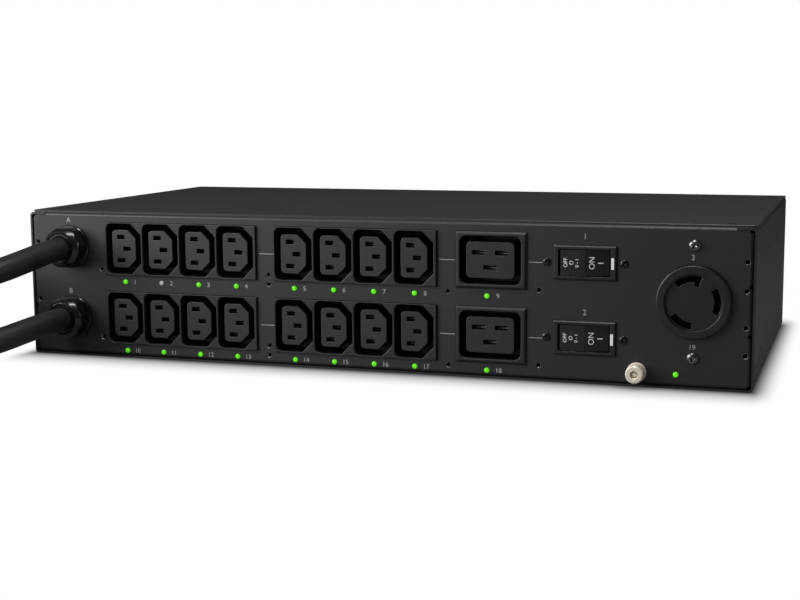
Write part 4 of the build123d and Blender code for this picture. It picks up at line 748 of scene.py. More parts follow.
@dataclass
class OutletSide:
    """The sheet of the outlet side: outlets, lamps and the screen print that numbers them."""

    finishes: Finishes
    number_offset: float = 6.3 * MM
    wide_number_shift: float = 0.4 * MM
    number_height: float = 2.7 * MM
    big_lamp_shift: float = -2.0 * MM
    labels: tuple[Mark, ...] = (
        Mark("A", -189.6 * MM, 82.4 * MM), Mark("B", -189.6 * MM, 39.4 * MM),
        Mark("1", 126.2 * MM, 80.2 * MM), Mark("2", 126.2 * MM, 39.0 * MM),
        Mark("3", 183.5 * MM, 70.6 * MM), Mark("19", 183.8 * MM, 22.7 * MM, 2.7 * MM))
    ties: tuple[tuple[float, float], ...] = ((-64.4 * MM, -55.4 * MM), (44.6 * MM, 53.4 * MM),
                                             (95.3 * MM, 102.9 * MM))
    tie_drop: float = 0.4 * MM
    tie_width: float = 0.35 * MM

    def sockets(self, row: float) -> list[tuple[float, float]]:
        """Places of one row's small outlets, left to right."""
        return [(x + SOCKET_SHIFT + (i - 1.5) * SOCKET_PITCH, row) for x in STRIPS for i in range(4)]

    def artwork(self) -> Print:
        """Numbers beside the lamps, letters over the leads, and the lines that tie each row together.

        Returns:
            The artwork.
        """
        marks = list(self.labels)
        big = BIG_SOCKET_X + self.big_lamp_shift
        lamps = [place for row in ROWS for place in self.sockets(row) + [(big, row)]]
        for number, (x, z) in enumerate(lamps, start=1):
            shift = self.number_offset + self.wide_number_shift * (number > 9)
            marks.append(Mark(str(number), x + shift, z - LAMP_DROP, self.number_height))
        bars = [Bar((a + b) / 2, row - self.tie_drop, b - a, self.tie_width)
                for row in ROWS for a, b in self.ties]
        return Print(marks, bars)

    def build(self, nodes: Nodes) -> list[bpy.types.Object]:
        """Dress the nodes of this side and add its print.

        Args:
            nodes: the model's nodes by name.

        Returns:
            The new pieces.
        """
        paint = self.finishes
        dress(nodes, paint.powder, "outlet_panel", "front_panel", "chassis_tray", "lid")
        dress(nodes, paint.outlet, *[n for n in nodes if n.startswith(("c13_module", "c19_module"))])
        dress(nodes, paint.contact, "outlet_contacts")
        dress(nodes, paint.lit, "lamps_lit")
        dress(nodes, paint.unlit, "lamp_unlit")
        dress(nodes, paint.nickel, "ground_terminal", "ground_washer")
        dress(nodes, paint.gland, "gland_bodies", "gland_nuts", "gland_locknuts")
        dress(nodes, paint.moulded, "locking_receptacle")
        dress(nodes, paint.jaw, "receptacle_contacts")
        dress(nodes, paint.zinc, "receptacle_strap")
        mesh = self.artwork().mesh(on_side(Side.OUTLET, OUTLET_Y))
        return [mesh_piece("outlet_side_print", mesh, paint.ink)]


@dataclass
class Breakers:
    """The two rocker breakers, with the print on each rocker and the white bar on each bezel."""

    finishes: Finishes
    rocker_face: float = OUTLET_Y - 1.0 * MM
    bezel_face: float = OUTLET_Y - 1.3 * MM
    throw: float = math.radians(12.0)
    off_print: Print = field(default_factory=lambda: Print([
        Mark("OFF", -10.4 * MM, 0, 2.1 * MM, 90), Mark("O", -7.2 * MM, 0, 2.1 * MM, 90),
        Mark("0 - 1", -4.2 * MM, 0, 1.8 * MM, 90)]))
    on_print: Print = field(default_factory=lambda: Print(
        [Mark("ON", 4.0 * MM, 0, 3.1 * MM, 90)], [Bar(8.6 * MM, 0, 3.0 * MM, 0.55 * MM)]))
    bezel_print: Print = field(default_factory=lambda: Print([], [Bar(15.1 * MM, 0, 1.5 * MM, 6.2 * MM)]))

    def build(self, nodes: Nodes) -> list[bpy.types.Object]:
        """Dress the breakers and print them.

        Args:
            nodes: the model's nodes by name.

        Returns:
            The new pieces.
        """
        paint = self.finishes
        upright, dip = Matrix.Rotation(math.pi / 2, 4, "X"), Matrix.Rotation(self.throw, 4, "Z")
        made = []
        for number, (x, z) in enumerate(BREAKERS, start=1):
            rocker = f"breaker_{number}_rocker"
            dress(nodes, paint.moulded, f"breaker_{number}_body")
            dress(nodes, paint.rocker, rocker)
            middle = Matrix.Translation((x, self.rocker_face - INK, z))
            bezel = Matrix.Translation((x, self.bezel_face - INK, z))
            for name, artwork, place, body in (
                    ("print_off", self.off_print, middle @ upright, rocker),
                    ("print_on", self.on_print, middle @ dip @ upright, rocker),
                    ("bar", self.bezel_print, bezel @ upright, BODY)):
                made.append(mesh_piece(f"breaker_{number}_{name}", artwork.mesh(place), paint.white_ink,
                                       body))
        return made


@dataclass(frozen=True)
class ScrewKind:
    """One kind of screw: its head, its shank and how it sits, then the head's forms as shares of its size."""

    drive: Drive
    head_radius: float
    head_height: float
    shank_radius: float
    length: float
    pan_side: float = 0.45
    arm_half: float = 0.13
    arm_reach: float = 0.6
    recess: float = 0.55

    def profile(self) -> list[tuple[float, float]]:
        """Section of the screw below its head's face, the sheet's face being at height 0.

        Returns:
            Radius and height, from the shank's tip up to the head's rim.
        """
        tip = [(0.0, -self.length), (self.shank_radius * 0.8, -self.length),
               (self.shank_radius, -self.length + self.shank_radius * 0.3)]
        if self.drive is Drive.PAN:
            side = self.head_height * self.pan_side
            return tip + [(self.shank_radius, 0.0), (self.head_radius * 0.97, 0.0),
                          (self.head_radius, 0.08 * side), (self.head_radius, side)]
        return tip + [(self.shank_radius, -self.head_height),
                      (self.head_radius * 0.98, -0.04 * self.head_height), (self.head_radius, 0.0)]

    def top(self, radius: float, angle: float) -> float:
        """Height of the head's face, with its crossed recess.

        Args:
            radius: distance from the screw's axis.
            angle: direction about it.

        Returns:
            The height over the sheet.
        """
        dome = 0.0
        if self.drive is Drive.PAN:
            side = self.head_height * self.pan_side
            dome = side + (self.head_height - side) * (1 - (radius / self.head_radius) ** 3)
        across, along = sorted((abs(radius * math.cos(angle)), abs(radius * math.sin(angle))))
        if across >= self.arm_half * self.head_radius:
            return dome
        floor = max(0.0, 1 - along / (self.arm_reach * self.head_radius)) ** 0.5
        return dome - self.recess * self.head_radius * floor

    def mesh(self, name: str, spokes: int = 40, rings: int = 14) -> bpy.types.Mesh:
        """Revolve the shank and lay the recessed face on top.

        Args:
            name: the mesh's name.
            spokes: points round the screw.
            rings: steps from the rim to the middle.

        Returns:
            The closed mesh, its axis along +Z.
        """
        shell = bmesh.new()
        turns = [math.tau * i / spokes for i in range(spokes)]
        (_, low), *section = self.profile()
        loops = [[shell.verts.new((r * math.cos(a), r * math.sin(a), z)) for a in turns] for r, z in section]
        for ring in range(1, rings):
            r = self.head_radius * (1 - ring / rings)
            loops.append([shell.verts.new((r * math.cos(a), r * math.sin(a), self.top(r, a)))
                          for a in turns])
        bridge(shell, loops)
        tip = shell.verts.new((0, 0, low))
        centre = shell.verts.new((0, 0, self.top(0.0, 0.0)))
        for i in range(spokes):
            shell.faces.new((loops[0][i - 1], loops[0][i], tip))
            shell.faces.new((loops[-1][i], loops[-1][i - 1], centre))
        bmesh.ops.recalc_face_normals(shell, faces=shell.faces)
        return keep_mesh(shell, name, sharp=35)


@dataclass(frozen=True)
class ThreadKind:
    """A tapped bush behind a hole in the sheet: its thread shows as bright rings inside the hole."""

    radius: float
    depth: float
    pitch: float = 0.5 * MM
    ridge: float = 0.22 * MM
    sunk: float = 0.25 * MM
    wall: float = 0.1 * MM
    clearance: float = 0.02 * MM

    def mesh(self, name: str, spokes: int = 24) -> bpy.types.Mesh:
        """Revolve the thread's teeth into a closed ring.

        Args:
            name: the mesh's name.
            spokes: points round the ring.

        Returns:
            The mesh, its mouth just under height 0.
        """
        outer = self.radius - self.clearance
        root = outer - self.wall
        teeth = int((self.depth - self.sunk) / self.pitch)
        section = [(outer, -self.sunk)]
        for i in range(teeth):
            top = -self.sunk - i * self.pitch
            section += [(root, top), (root - self.ridge, top - self.pitch / 2)]
        low = -self.sunk - teeth * self.pitch
        section += [(root, low), (outer, low)]
        shell = bmesh.new()
        turns = [math.tau * i / spokes for i in range(spokes)]
        loops = [[shell.verts.new((r * math.cos(a), r * math.sin(a), z)) for a in turns] for r, z in section]
        bridge(shell, loops + loops[:1])
        bmesh.ops.recalc_face_normals(shell, faces=shell.faces)
        return keep_mesh(shell, name, sharp=40)


@dataclass
class Screws:
    """Every visible screw and tapped bush, set on its place by a node tree and turned by a seeded angle."""

    finishes: Finishes
    flush: ScrewKind = ScrewKind(Drive.FLUSH, 2.9 * MM, 0.9 * MM, 1.5 * MM, 5.5 * MM)
    long_flush: ScrewKind = ScrewKind(Drive.FLUSH, 2.9 * MM, 0.9 * MM, 1.5 * MM, 7.0 * MM)
    pan: ScrewKind = ScrewKind(Drive.PAN, 2.2 * MM, 1.3 * MM, 1.3 * MM, 7.0 * MM)
    wide_pan: ScrewKind = ScrewKind(Drive.PAN, 3.0 * MM, 2.0 * MM, 1.6 * MM, 7.0 * MM)
    bracket_bush: ThreadKind = ThreadKind(1.6 * MM, 2.6 * MM)
    ear_bush: ThreadKind = ThreadKind(1.65 * MM, 2.4 * MM)
    lid_x: tuple[float, ...] = (-203.0 * MM, 0.0, 203.0 * MM)
    lid_y: float = 108.5 * MM
    lid_end_x: float = 211.0 * MM
    side_y: float = 101.0 * MM
    side_z: tuple[float, ...] = (16.5 * MM, 42.75 * MM, 69.0 * MM)
    breaker_reach: float = 21.05 * MM
    receptacle_reach: float = 30.0 * MM
    ear_insets: tuple[float, ...] = (44.0 * MM, 88.0 * MM)
    ear_z: tuple[float, ...] = (16.5 * MM, 69.0 * MM)
    # small tapped holes of the outlet side: across and below each row, then those at its two ends
    row_holes: tuple[tuple[float, float], ...] = (
        (-168.4 * MM, 12.5 * MM), (-59.2 * MM, 12.5 * MM), (-59.2 * MM, 18.1 * MM), (49.2 * MM, 18.1 * MM),
        (100.8 * MM, 15.6 * MM))
    end_holes: tuple[tuple[float, float], ...] = (
        (-211.4 * MM, 68.9 * MM), (-211.4 * MM, 33.7 * MM), (211.4 * MM, 69.0 * MM), (211.4 * MM, 53.7 * MM),
        (211.4 * MM, 34.3 * MM), (211.4 * MM, 19.2 * MM))

    def tree(self) -> bpy.types.NodeTree:
        """Build the tree that sets one screw on each point, facing the way the point says.

        Returns:
            The node group, with inputs for the screw, the seed and the finish.
        """
        tree = new_tree("set_screws", {
            "Places": "Geometry", "Pattern": "Object", "Seed": "Int", "Finish": "Material"})
        given = add_node(tree, "NodeGroupInput").outputs
        screw = add_node(tree, "GeometryNodeObjectInfo", {"Object": given["Pattern"]})
        facing = add_node(tree, "GeometryNodeInputNamedAttribute", {"Name": "facing"},
                          data_type="FLOAT_VECTOR")
        aim = add_node(tree, "FunctionNodeAlignRotationToVector", {
            "Vector": facing.outputs["Attribute"]}, axis="Z")
        turn = add_node(tree, "FunctionNodeRandomValue", {"Seed": given["Seed"], 2: 0.0, 3: math.tau},
                        data_type="FLOAT")
        about = add_node(tree, "ShaderNodeCombineXYZ", {"Z": turn.outputs[1]})
        spin = add_node(tree, "FunctionNodeEulerToRotation", {"Euler": about.outputs["Vector"]})
        whole = add_node(tree, "FunctionNodeRotateRotation", {
            "Rotation": aim.outputs["Rotation"], "Rotate By": spin.outputs["Rotation"]},
            rotation_space="LOCAL")
        many = add_node(tree, "GeometryNodeInstanceOnPoints", {
            "Points": given["Places"], "Instance": screw.outputs["Geometry"],
            "Rotation": whole.outputs["Rotation"]})
        end_tree(tree, many.outputs["Instances"], given["Finish"])
        return tree

    def set_out(self, tree: bpy.types.NodeTree, name: str, kind: ScrewKind | ThreadKind, places: Spots,
                material: bpy.types.Material, seed: int) -> bpy.types.Object:
        """Run the tree for one kind of screw and keep the result as a plain piece.

        Args:
            tree: the node group.
            name: the piece's name.
            kind: the screw or bush.
            places: each screw's place and the way it faces.
            material: its finish.
            seed: the seed of the heads' turns.

        Returns:
            The piece.
        """
        points = bpy.data.meshes.new("screw_places")
        points.from_pydata([place for place, _ in places], [], [])
        facing = points.attributes.new("facing", "FLOAT_VECTOR", "POINT")
        facing.data.foreach_set("vector", [v for _, way in places for v in way])
        mesh = run_tree(tree, points, kind.mesh("screw_pattern"), {"Seed": seed, "Finish": material})
        return mesh_piece(name, mesh, material)

    def build(self) -> list[bpy.types.Object]:
        """Set out the lid's, the sides', the breakers' and the receptacle's screws, and the tapped bushes.

        Returns:
            The new pieces; the screws replace their nodes.
        """
        tree = self.tree()
        paint = self.finishes
        ends = (-1, 1)
        wide, deep = BOX_HALF
        up, out = Vector((0, 0, 1)), Vector((0, -1, 0))
        lid = [(Vector((x, end * self.lid_y, BOX_TOP)), up) for end in ends for x in self.lid_x]
        lid += [(Vector((side * self.lid_end_x, 0.0, BOX_TOP)), up) for side in ends]
        sides = [(Vector((side * wide, end * self.side_y, z)), Vector((side, 0, 0)))
                 for side in ends for end in ends for z in self.side_z]
        small = [(Vector((x + end * self.breaker_reach, OUTLET_Y, z)), out) for x, z in BREAKERS
                 for end in ends]
        large = [(Vector((LOCK[0], OUTLET_Y, LOCK[1] + end * self.receptacle_reach)), out) for end in ends]
        made = [
            self.set_out(tree, "lid_screws_fine", self.flush, lid, paint.oxide, 3),
            self.set_out(tree, "side_screws_fine", self.long_flush, sides, paint.oxide, 5),
            self.set_out(tree, "breaker_screws_fine", self.pan, small, paint.oxide, 8),
            self.set_out(tree, "receptacle_screws_fine", self.wide_pan, large, paint.bright,
                         13),
        ]
        for piece in made:
            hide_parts(piece.name.removesuffix("_fine"))
        holes = [(x, row - drop) for x, drop in self.row_holes for row in ROWS] + list(self.end_holes)
        brackets = [(Vector((x, OUTLET_Y, z)), out) for x, z in holes]
        ears = [(Vector((side * wide, end * (deep - inset), z)), Vector((side, 0, 0)))
                for side in ends for end in ends for inset in self.ear_insets for z in self.ear_z]
        made += [
            self.set_out(tree, "bracket_threads", self.bracket_bush, brackets, paint.zinc,
                         21),
            self.set_out(tree, "ear_threads", self.ear_bush, ears, paint.zinc, 22),
        ]
        return made


@dataclass
class Lead:
    """One input lead: the route from its gland, the neat coil, and the way from the coil to its plug.

    The route and the tail are in millimetres, and everything wound is in degrees from the coil's south point.
    """

    name: str
    gland: Point
    route: list[Point]
    coil_base: float
    end_turn: float
    tail: list[Point]
    diameter: float = 14.0 * MM
    length: float = 3.0
    centre: tuple[float, float] = (-334.0 * MM, -172.0 * MM)
    turns: tuple[float, float, float] = (92.0 * MM, 78.0 * MM, 64.0 * MM)
    # where the winding moves from one turn to another: start, end, and the two turns
    shifts: tuple[tuple[float, float, int, int], ...] = (
        (330.0, 375.0, 0, 1), (690.0, 735.0, 1, 2), (1320.0, 1365.0, 2, 1), (1680.0, 1725.0, 1, 0))
    climb: tuple[float, float] = (1005.0, 45.0)  # where it climbs a layer, and over how many degrees
    step: float = 18.0  # between two points of the winding

    def radius_at(self, wound: float) -> float:
        """Radius of the winding: three rows inwards, a layer up, three outwards.

        Args:
            wound: how far it is wound.

        Returns:
            The radius of its middle.
        """
        radius = self.turns[0]
        for start, end, before, after in self.shifts:
            if wound > start:
                share = min(1.0, (wound - start) / (end - start))
                radius = self.turns[before] + (self.turns[after] - self.turns[before]) * share
        return radius

    def height_at(self, wound: float) -> float:
        """Height of the winding's middle.

        Args:
            wound: how far it is wound.

        Returns:
            The height.
        """
        start, spread = self.climb
        rise = min(1.0, max(0.0, (wound - start) / spread))
        return self.coil_base + self.diameter * (0.5 + rise)

    def winding(self) -> list[Point]:
        """Control points of the coil, a little outside its line because the spline cuts inside them.

        Returns:
            The points, without the two ends that the route and the tail give.
        """
        half = math.radians(self.step / 2)
        spread = 1 / (0.5 * math.cos(half) + 0.5 * (3 + math.cos(2 * half)) / 4)
        points = []
        wound = self.step
        while wound < self.end_turn - self.step / 2:
            angle = math.radians(-90.0 - wound)
            radius = self.radius_at(wound) * spread
            points.append((self.centre[0] + radius * math.cos(angle),
                           self.centre[1] + radius * math.sin(angle), self.height_at(wound)))
            wound += self.step
        return points

    def build(self, finishes: Finishes, nodes: Nodes) -> bpy.types.Object:
        """Args:
            finishes: the shared materials.
            nodes: the model's nodes by name.

        Returns:
            The lead.
        """
        route, tail = [[tuple(v * MM for v in p) for p in part] for part in (self.route, self.tail)]
        points = route + self.winding() + tail
        curve = bpy.data.curves.new(self.name, "CURVE")
        curve.dimensions = "3D"
        spline = curve.splines.new("NURBS")
        spline.points.add(len(points) - 1)
        for point, place in zip(spline.points, points):
            point.co = (*place, 1.0)
        spline.order_u = 3
        spline.use_endpoint_u = True
        spline.resolution_u = 6
        curve.bevel_depth = self.diameter / 2
        curve.bevel_resolution = 6
        curve.use_fill_caps = True
        curve.materials.append(finishes.jacket)
        lead = add_object(self.name, curve)
        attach(lead, BODY)
        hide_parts(f"{self.name}_tube", f"{self.name}_coil", f"{self.name}_tail")
        letter = self.name[-1]
        with_pieces = [nodes[f"plug_{letter}_{part}"] for part in ("shell", "face", "blades")]
        if letter == "a":
            with_pieces += [nodes[n] for n in ("lead_ties", "gland_bodies", "gland_nuts", "gland_locknuts")]
        return lead


@dataclass
class Leads:
    """Both input leads with their plugs and straps."""

    finishes: Finishes

    def build(self, nodes: Nodes) -> list[bpy.types.Object]:
        """Make both leads and dress what is on them.

        Args:
            nodes: the model's nodes by name.

        Returns:
            The leads.
        """
        paint = self.finishes
        dress(nodes, paint.gland, "plug_a_shell", "plug_b_shell")
        dress(nodes, paint.key, "plug_a_face", "plug_b_face")
        dress(nodes, paint.contact, "plug_a_blades", "plug_b_blades")
        dress(nodes, paint.webbing, "lead_ties")
        first = Lead(
            "lead_a", (-189.0 * MM, -131.0 * MM, 66.5 * MM),
            [(-189.0, -108.0, 66.5), (-189.0, -136.0, 66.5), (-189.3, -163.0, 63.2), (-191.0, -192.0, 59.5),
             (-204.0, -224.0, 54.5), (-230.0, -250.0, 49.0), (-263.0, -264.5, 43.5), (-298.0, -266.0, 39.5),
             (-334.0, -264.0, 37.0)],
            30.0 * MM, 1800.0,
            [(-334.0, -264.0, 51.0), (-364.0, -259.5, 54.5), (-391.0, -245.0, 63.0), (-409.5, -221.5, 73.0),
             (-417.5, -196.0, 79.5), (-418.5, -172.0, 81.2)])
        second = Lead(
            "lead_b", (-189.0 * MM, -131.0 * MM, 23.8 * MM),
            [(-189.0, -108.0, 23.8), (-189.0, -136.0, 23.8), (-190.5, -163.0, 22.5), (-194.0, -192.0, 19.5),
             (-208.0, -223.0, 15.5), (-233.0, -248.0, 12.0), (-265.0, -262.0, 9.4), (-299.0, -265.0, 8.4),
             (-334.0, -264.0, 9.0)],
            2.0 * MM, 1890.0,
            [(-426.0, -172.0, 23.0), (-427.0, -147.0, 22.8), (-428.2, -122.0, 22.8), (-428.0, -98.0, 23.2)])
        return [lead.build(paint, nodes) for lead in (first, second)]


@dataclass
class NetworkPorts:
    """The sprung wires of the two network ports, bent down from each port's roof."""

    finishes: Finishes
    middle: Point = (150.0 * MM, 117.5 * MM, 18.1 * MM)
    spread: float = 8.5 * MM
    wires: int = 8
    pitch: float = 1.02 * MM
    wire_width: float = 0.45 * MM
    wire_thickness: float = 0.3 * MM
    # along Y and up, from the port's roof near the mouth to its back
    bend: tuple[tuple[float, float], ...] = (
        (-1.6 * MM, 4.0 * MM), (-2.2 * MM, 3.0 * MM), (-4.5 * MM, 1.2 * MM), (-8.5 * MM, -0.6 * MM),
        (-12.6 * MM, -1.4 * MM))

    def wire(self) -> bpy.types.Mesh:
        """Sweep one wire's flat section along its bend.

        Returns:
            The closed mesh, its port's mouth at the origin and +Y pointing out of it.
        """
        across, up = self.wire_width / 2, self.wire_thickness / 2
        section = ((-across, up), (across, up), (across, -up), (-across, -up))
        shell = bmesh.new()
        loops = [[shell.verts.new((x, y, z + rise)) for x, rise in section] for y, z in self.bend]
        bridge(shell, loops)
        shell.faces.new(loops[0])
        shell.faces.new(loops[-1])
        bmesh.ops.recalc_face_normals(shell, faces=shell.faces)
        return keep_mesh(shell, "wire_pattern")

    def tree(self) -> bpy.types.NodeTree:
        """Build the tree that lays a row of wires in each port.

        Returns:
            The node group, with inputs for the wire, how many a port has, their pitch and the finish.
        """
        tree = new_tree("rows_of_wires", {"Ports": "Geometry", "Pattern": "Object", "Wires": "Int",
                                          "Pitch": "Float", "Finish": "Material"})
        given = add_node(tree, "NodeGroupInput").outputs
        gaps = add_node(tree, "ShaderNodeMath", {0: given["Wires"], 1: 1.0}, operation="SUBTRACT").outputs[0]
        span = add_node(tree, "ShaderNodeMath", {0: gaps, 1: given["Pitch"]},
                        operation="MULTIPLY").outputs[0]
        first = add_node(tree, "ShaderNodeMath", {0: span, 1: -0.5}, operation="MULTIPLY").outputs[0]
        start = add_node(tree, "ShaderNodeCombineXYZ", {"X": first}).outputs["Vector"]
        step = add_node(tree, "ShaderNodeCombineXYZ", {"X": given["Pitch"]}).outputs["Vector"]
        row = add_node(tree, "GeometryNodeMeshLine", {
            "Count": given["Wires"], "Start Location": start, "Offset": step}, mode="OFFSET")
        wire = add_node(tree, "GeometryNodeObjectInfo", {"Object": given["Pattern"]})
        wires = add_node(tree, "GeometryNodeInstanceOnPoints", {
            "Points": row.outputs["Mesh"], "Instance": wire.outputs["Geometry"]})
        rows = add_node(tree, "GeometryNodeInstanceOnPoints", {
            "Points": given["Ports"], "Instance": wires.outputs["Instances"]})
        end_tree(tree, rows.outputs["Instances"], given["Finish"])
        return tree

    def build(self) -> bpy.types.Object:
        """Lay the wires in both ports.

        Returns:
            The piece.
        """
        gold = self.finishes.gold
        x, y, z = self.middle
        ports = bpy.data.meshes.new("port_places")
        ports.from_pydata([(x + side * self.spread, y, z) for side in (-1, 1)], [], [])
        mesh = run_tree(self.tree(), ports, self.wire(), {
            "Wires": self.wires, "Pitch": self.pitch, "Finish": gold})
        return mesh_piece("network_wires", mesh, gold)


@dataclass
class DisplaySide:
    """The far side: window, keys, source lamps and network ports, with the print that names them."""

    finishes: Finishes
    lamp_x: float = -60.0 * MM
    lamp_z: tuple[float, float] = (62.0 * MM, 50.0 * MM)
    letter_shift: float = 6.5 * MM
    port_x: tuple[float, float] = (141.5 * MM, 158.5 * MM)
    port_number_z: float = 30.0 * MM
    port_number_height: float = 2.6 * MM
    key_x: tuple[float, float] = (-132.0 * MM, -108.0 * MM)
    key_z: float = 30.0 * MM
    key_face: float = DISPLAY_Y + 1.0 * MM
    arrow_height: float = 3.2 * MM

    def artwork(self) -> Print:
        """Letters beside the source lamps and numbers over the network ports, as read from outside.

        Returns:
            The artwork, its x across from the reader's left.
        """
        marks = [Mark(letter, -self.lamp_x + self.letter_shift, z)
                 for letter, z in zip("AB", self.lamp_z)]
        marks += [Mark(number, -x, self.port_number_z, self.port_number_height)
                  for number, x in zip("21", self.port_x)]
        return Print(marks)

    def build(self, nodes: Nodes) -> list[bpy.types.Object]:
        """Dress the nodes of the far side and add its print and its wires.

        Args:
            nodes: the model's nodes by name.

        Returns:
            The new pieces.
        """
        paint = self.finishes
        dress(nodes, paint.window, "display_window")
        dress(nodes, paint.board, "display_module")
        dress(nodes, paint.key, "key_left", "key_right")
        dress(nodes, paint.moulded, "network_jack")
        flat = self.artwork().mesh(on_side(Side.DISPLAY, DISPLAY_Y))
        made = [mesh_piece("display_side_print", flat, paint.ink), NetworkPorts(paint).build()]
        on_key = on_side(Side.DISPLAY, self.key_face, 0.0)
        for key, arrow, x in zip(("key_left", "key_right"), "><", self.key_x):
            flat = Print([Mark(arrow, -x, self.key_z, self.arrow_height)]).mesh(on_key)
            made.append(mesh_piece(f"{key}_print", flat, paint.white_ink, key))
        return made


@dataclass
class Electronics:
    """What the box holds: boards, switches, sink, sensors and supply."""

    finishes: Finishes

    def build(self, nodes: Nodes) -> None:
        """Dress the inner nodes.

        Args:
            nodes: the model's nodes by name.
        """
        paint = self.finishes
        dress(nodes, paint.board, "outlet_board", "power_board", "control_board", "lamp_strips")
        dress(nodes, paint.zinc, "board_spacers")
        dress(nodes, paint.film, "insulating_sheet")
        dress(nodes, paint.aluminium, "heat_sink")
        dress(nodes, paint.epoxy, "thyristors", "current_sensors", "input_terminals")
        dress(nodes, paint.relay, "outlet_relays")
        dress(nodes, paint.lamination, "transformer_core")
        dress(nodes, paint.tape, "transformer_coil")


@dataclass(frozen=True)
class Softbox:
    """One soft rectangular light: where it hangs, what it points at, its width and height, and its watts."""

    name: str
    place: Point
    target: Point
    size: tuple[float, float]
    power: float

    def build(self) -> None:
        """Hang the light."""
        light = bpy.data.lights.new(self.name, "AREA")
        light.shape = "RECTANGLE"
        light.size, light.size_y = self.size
        light.energy = self.power
        holder = add_object(self.name, light)
        holder.location = self.place
        holder.visible_camera = False
        aim = Vector(self.target) - Vector(self.place)
        holder.rotation_euler = aim.to_track_quat("-Z", "Y").to_euler()


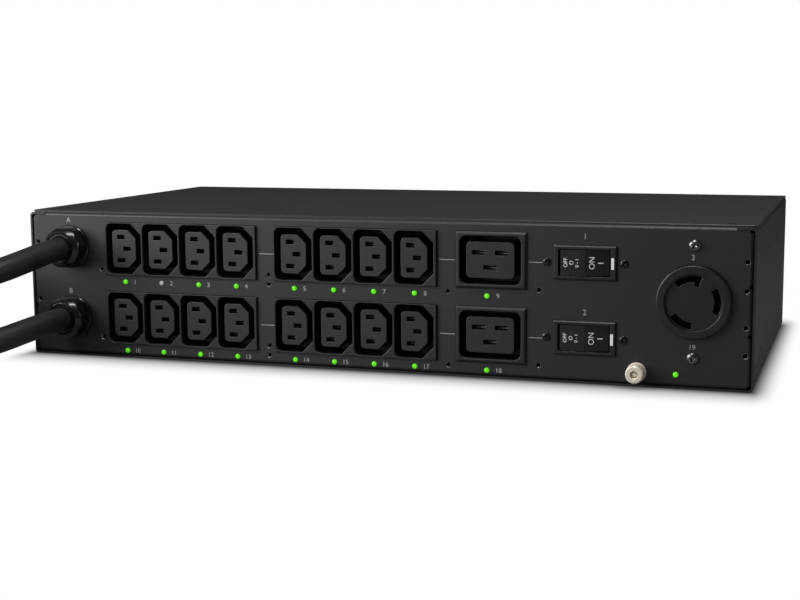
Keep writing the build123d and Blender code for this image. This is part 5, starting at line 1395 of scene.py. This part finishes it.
@dataclass
class Studio:
    """Pale floor, soft light, and a camera where the photograph's stood."""

    camera_place: Point = (0.2740, -0.8794, 0.1562)
    camera_turn: Point = (82.076, 0.345, 18.315)
    focal_length: float = 64.82
    sensor_width: float = 36.0
    frame: tuple[int, int] = (800, 600)
    principal_row: float = 295.3
    near_clip: float = 10.0 * MM
    floor_half: float = 6.0
    floor_felt: str = "#848484"
    fill: float = 0.05
    # painted floor shade: a contact shadow round the box's foot, then crevice shade from ambient occlusion
    shadow_reach: tuple[float, float] = (14.0 * MM, 40.0 * MM)
    shadow_depth: float = 0.85
    shadow_falloff: float = 1.8
    crevice_reach: float = 12.0 * MM
    crevice_depth: float = 0.5
    crevice_range: tuple[float, float] = (0.4, 0.9)
    softboxes: tuple[Softbox, ...] = (
        Softbox("key", (-1.05, -0.66, 0.38), (-0.18, -0.118, 0.05), (0.75, 0.6), 11.0),
        Softbox("front", (-0.95, -1.45, 0.25), (-0.25, -0.118, 0.05), (0.8, 0.5), 3.4),
        Softbox("overhead", (0.15, -0.14, 0.9), (0.10, -0.11, 0.08), (0.9, 0.12), 6.6),
        Softbox("side", (1.3, 0.1, 0.35), (0.2, 0.0, 0.05), (0.5, 0.5), 2.8),
        Softbox("rear", (-0.15, 0.95, 0.045), (-0.15, 0.118, 0.045), (0.7, 0.08), 3.2),
        Softbox("high", (-0.46, -0.5, 0.45), (-0.2, -0.12, 0.05), (0.4, 0.2), 2.6),
    )

    def camera(self) -> None:
        """Place the camera, with the small upward shift of the photograph's frame."""
        lens = bpy.data.cameras.new("camera")
        lens.lens = self.focal_length
        lens.sensor_width = self.sensor_width
        width, height = self.frame
        lens.shift_y = (self.principal_row - height / 2) / width
        lens.clip_start = self.near_clip
        camera = add_object("camera", lens)
        camera.location = self.camera_place
        camera.rotation_euler = [math.radians(a) for a in self.camera_turn]
        bpy.context.scene.camera = camera

    def floor_finish(self) -> bpy.types.Material:
        """Make the backdrop: white in the picture with painted contact shadow and crevice shade, dim grey to
        the object.

        Returns:
            The material.
        """
        material = bpy.data.materials.new("white_backdrop")
        tree = empty_tree(material)
        # distance from the box's foot, counted in the painted shadow's own reach to the side and to the front
        away = add_node(tree, "ShaderNodeTexCoord").outputs["Object"]
        for operation, given in (("ABSOLUTE", (0.0, 0.0, 0.0)), ("SUBTRACT", (*BOX_HALF, 0.0)),
                                 ("MAXIMUM", (0.0, 0.0, 0.0)), ("DIVIDE", (*self.shadow_reach, 1.0))):
            away = add_node(tree, "ShaderNodeVectorMath", {0: away, 1: given}, operation=operation).outputs[0]
        away = add_node(tree, "ShaderNodeVectorMath", {0: away}, operation="LENGTH").outputs["Value"]
        shade = add_node(tree, "ShaderNodeMath", {0: 1.0, 1: away}, operation="SUBTRACT",
                         use_clamp=True).outputs[0]
        for operation, value in (("POWER", self.shadow_falloff), ("MULTIPLY", -self.shadow_depth),
                                 ("ADD", 1.0)):
            shade = add_node(tree, "ShaderNodeMath", {0: shade, 1: value}, operation=operation).outputs[0]
        # painted shade where the floor nears the box and the leads, from ambient occlusion
        near = add_node(tree, "ShaderNodeAmbientOcclusion", {"Distance": self.crevice_reach}, samples=12)
        dark, open_air = self.crevice_range
        crevice_shade = add_node(tree, "ShaderNodeMapRange", {
            "Value": near.outputs["AO"], "From Min": dark, "From Max": open_air,
            "To Min": 1.0 - self.crevice_depth, "To Max": 1.0}, clamp=True)
        shade = add_node(tree, "ShaderNodeMath", {0: shade, 1: crevice_shade.outputs["Result"]},
                         operation="MULTIPLY")
        seen = add_node(tree, "ShaderNodeEmission", {"Strength": shade.outputs[0]})
        felt = add_node(tree, "ShaderNodeBsdfDiffuse", {"Color": linear(self.floor_felt)})
        ray = add_node(tree, "ShaderNodeLightPath")
        both = add_node(tree, "ShaderNodeMixShader", {
            0: ray.outputs["Is Camera Ray"], 1: felt.outputs["BSDF"], 2: seen.outputs["Emission"]})
        add_node(tree, "ShaderNodeOutputMaterial", {"Surface": both.outputs["Shader"]})
        return material

    def sky(self) -> bpy.types.World:
        """Make the world: white in the picture, and a weak even light on the object.

        Returns:
            The world.
        """
        world = bpy.data.worlds.new("studio")
        tree = empty_tree(world)
        ray = add_node(tree, "ShaderNodeLightPath")
        power = add_node(tree, "ShaderNodeMapRange", {
            "Value": ray.outputs["Is Camera Ray"], "To Min": self.fill, "To Max": 1.0})
        back = add_node(tree, "ShaderNodeBackground", {
            "Color": (1.0, 1.0, 1.0, 1.0), "Strength": power.outputs["Result"]})
        add_node(tree, "ShaderNodeOutputWorld", {"Surface": back.outputs["Background"]})
        return world

    def build(self) -> None:
        """Set the floor, the light and the camera."""
        shell = bmesh.new()
        bmesh.ops.create_grid(shell, x_segments=1, y_segments=1, size=self.floor_half)
        floor = add_object("floor", keep_mesh(shell, "floor"))
        floor.data.materials.append(self.floor_finish())
        bpy.context.scene.world = self.sky()
        bpy.context.scene.view_settings.view_transform = "Standard"
        for softbox in self.softboxes:
            softbox.build()
        self.camera()


def main() -> None:
    """Load the model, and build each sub-assembly."""
    logging.basicConfig(level=logging.INFO, format="%(name)s %(message)s")
    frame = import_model()
    nodes = frame["nodes"]
    finishes = Finishes()
    Studio().build()
    for lead in Leads(finishes).build(nodes):
        LOG.info("lead %s", lead.name)
    Electronics(finishes).build(nodes)
    for piece in (OutletSide(finishes).build(nodes) + Breakers(finishes).build(nodes)
                  + Screws(finishes).build() + DisplaySide(finishes).build(nodes)):
        LOG.info("piece %s, %d faces", piece.name, len(piece.data.polygons))


if __name__ == "__main__":
    main()
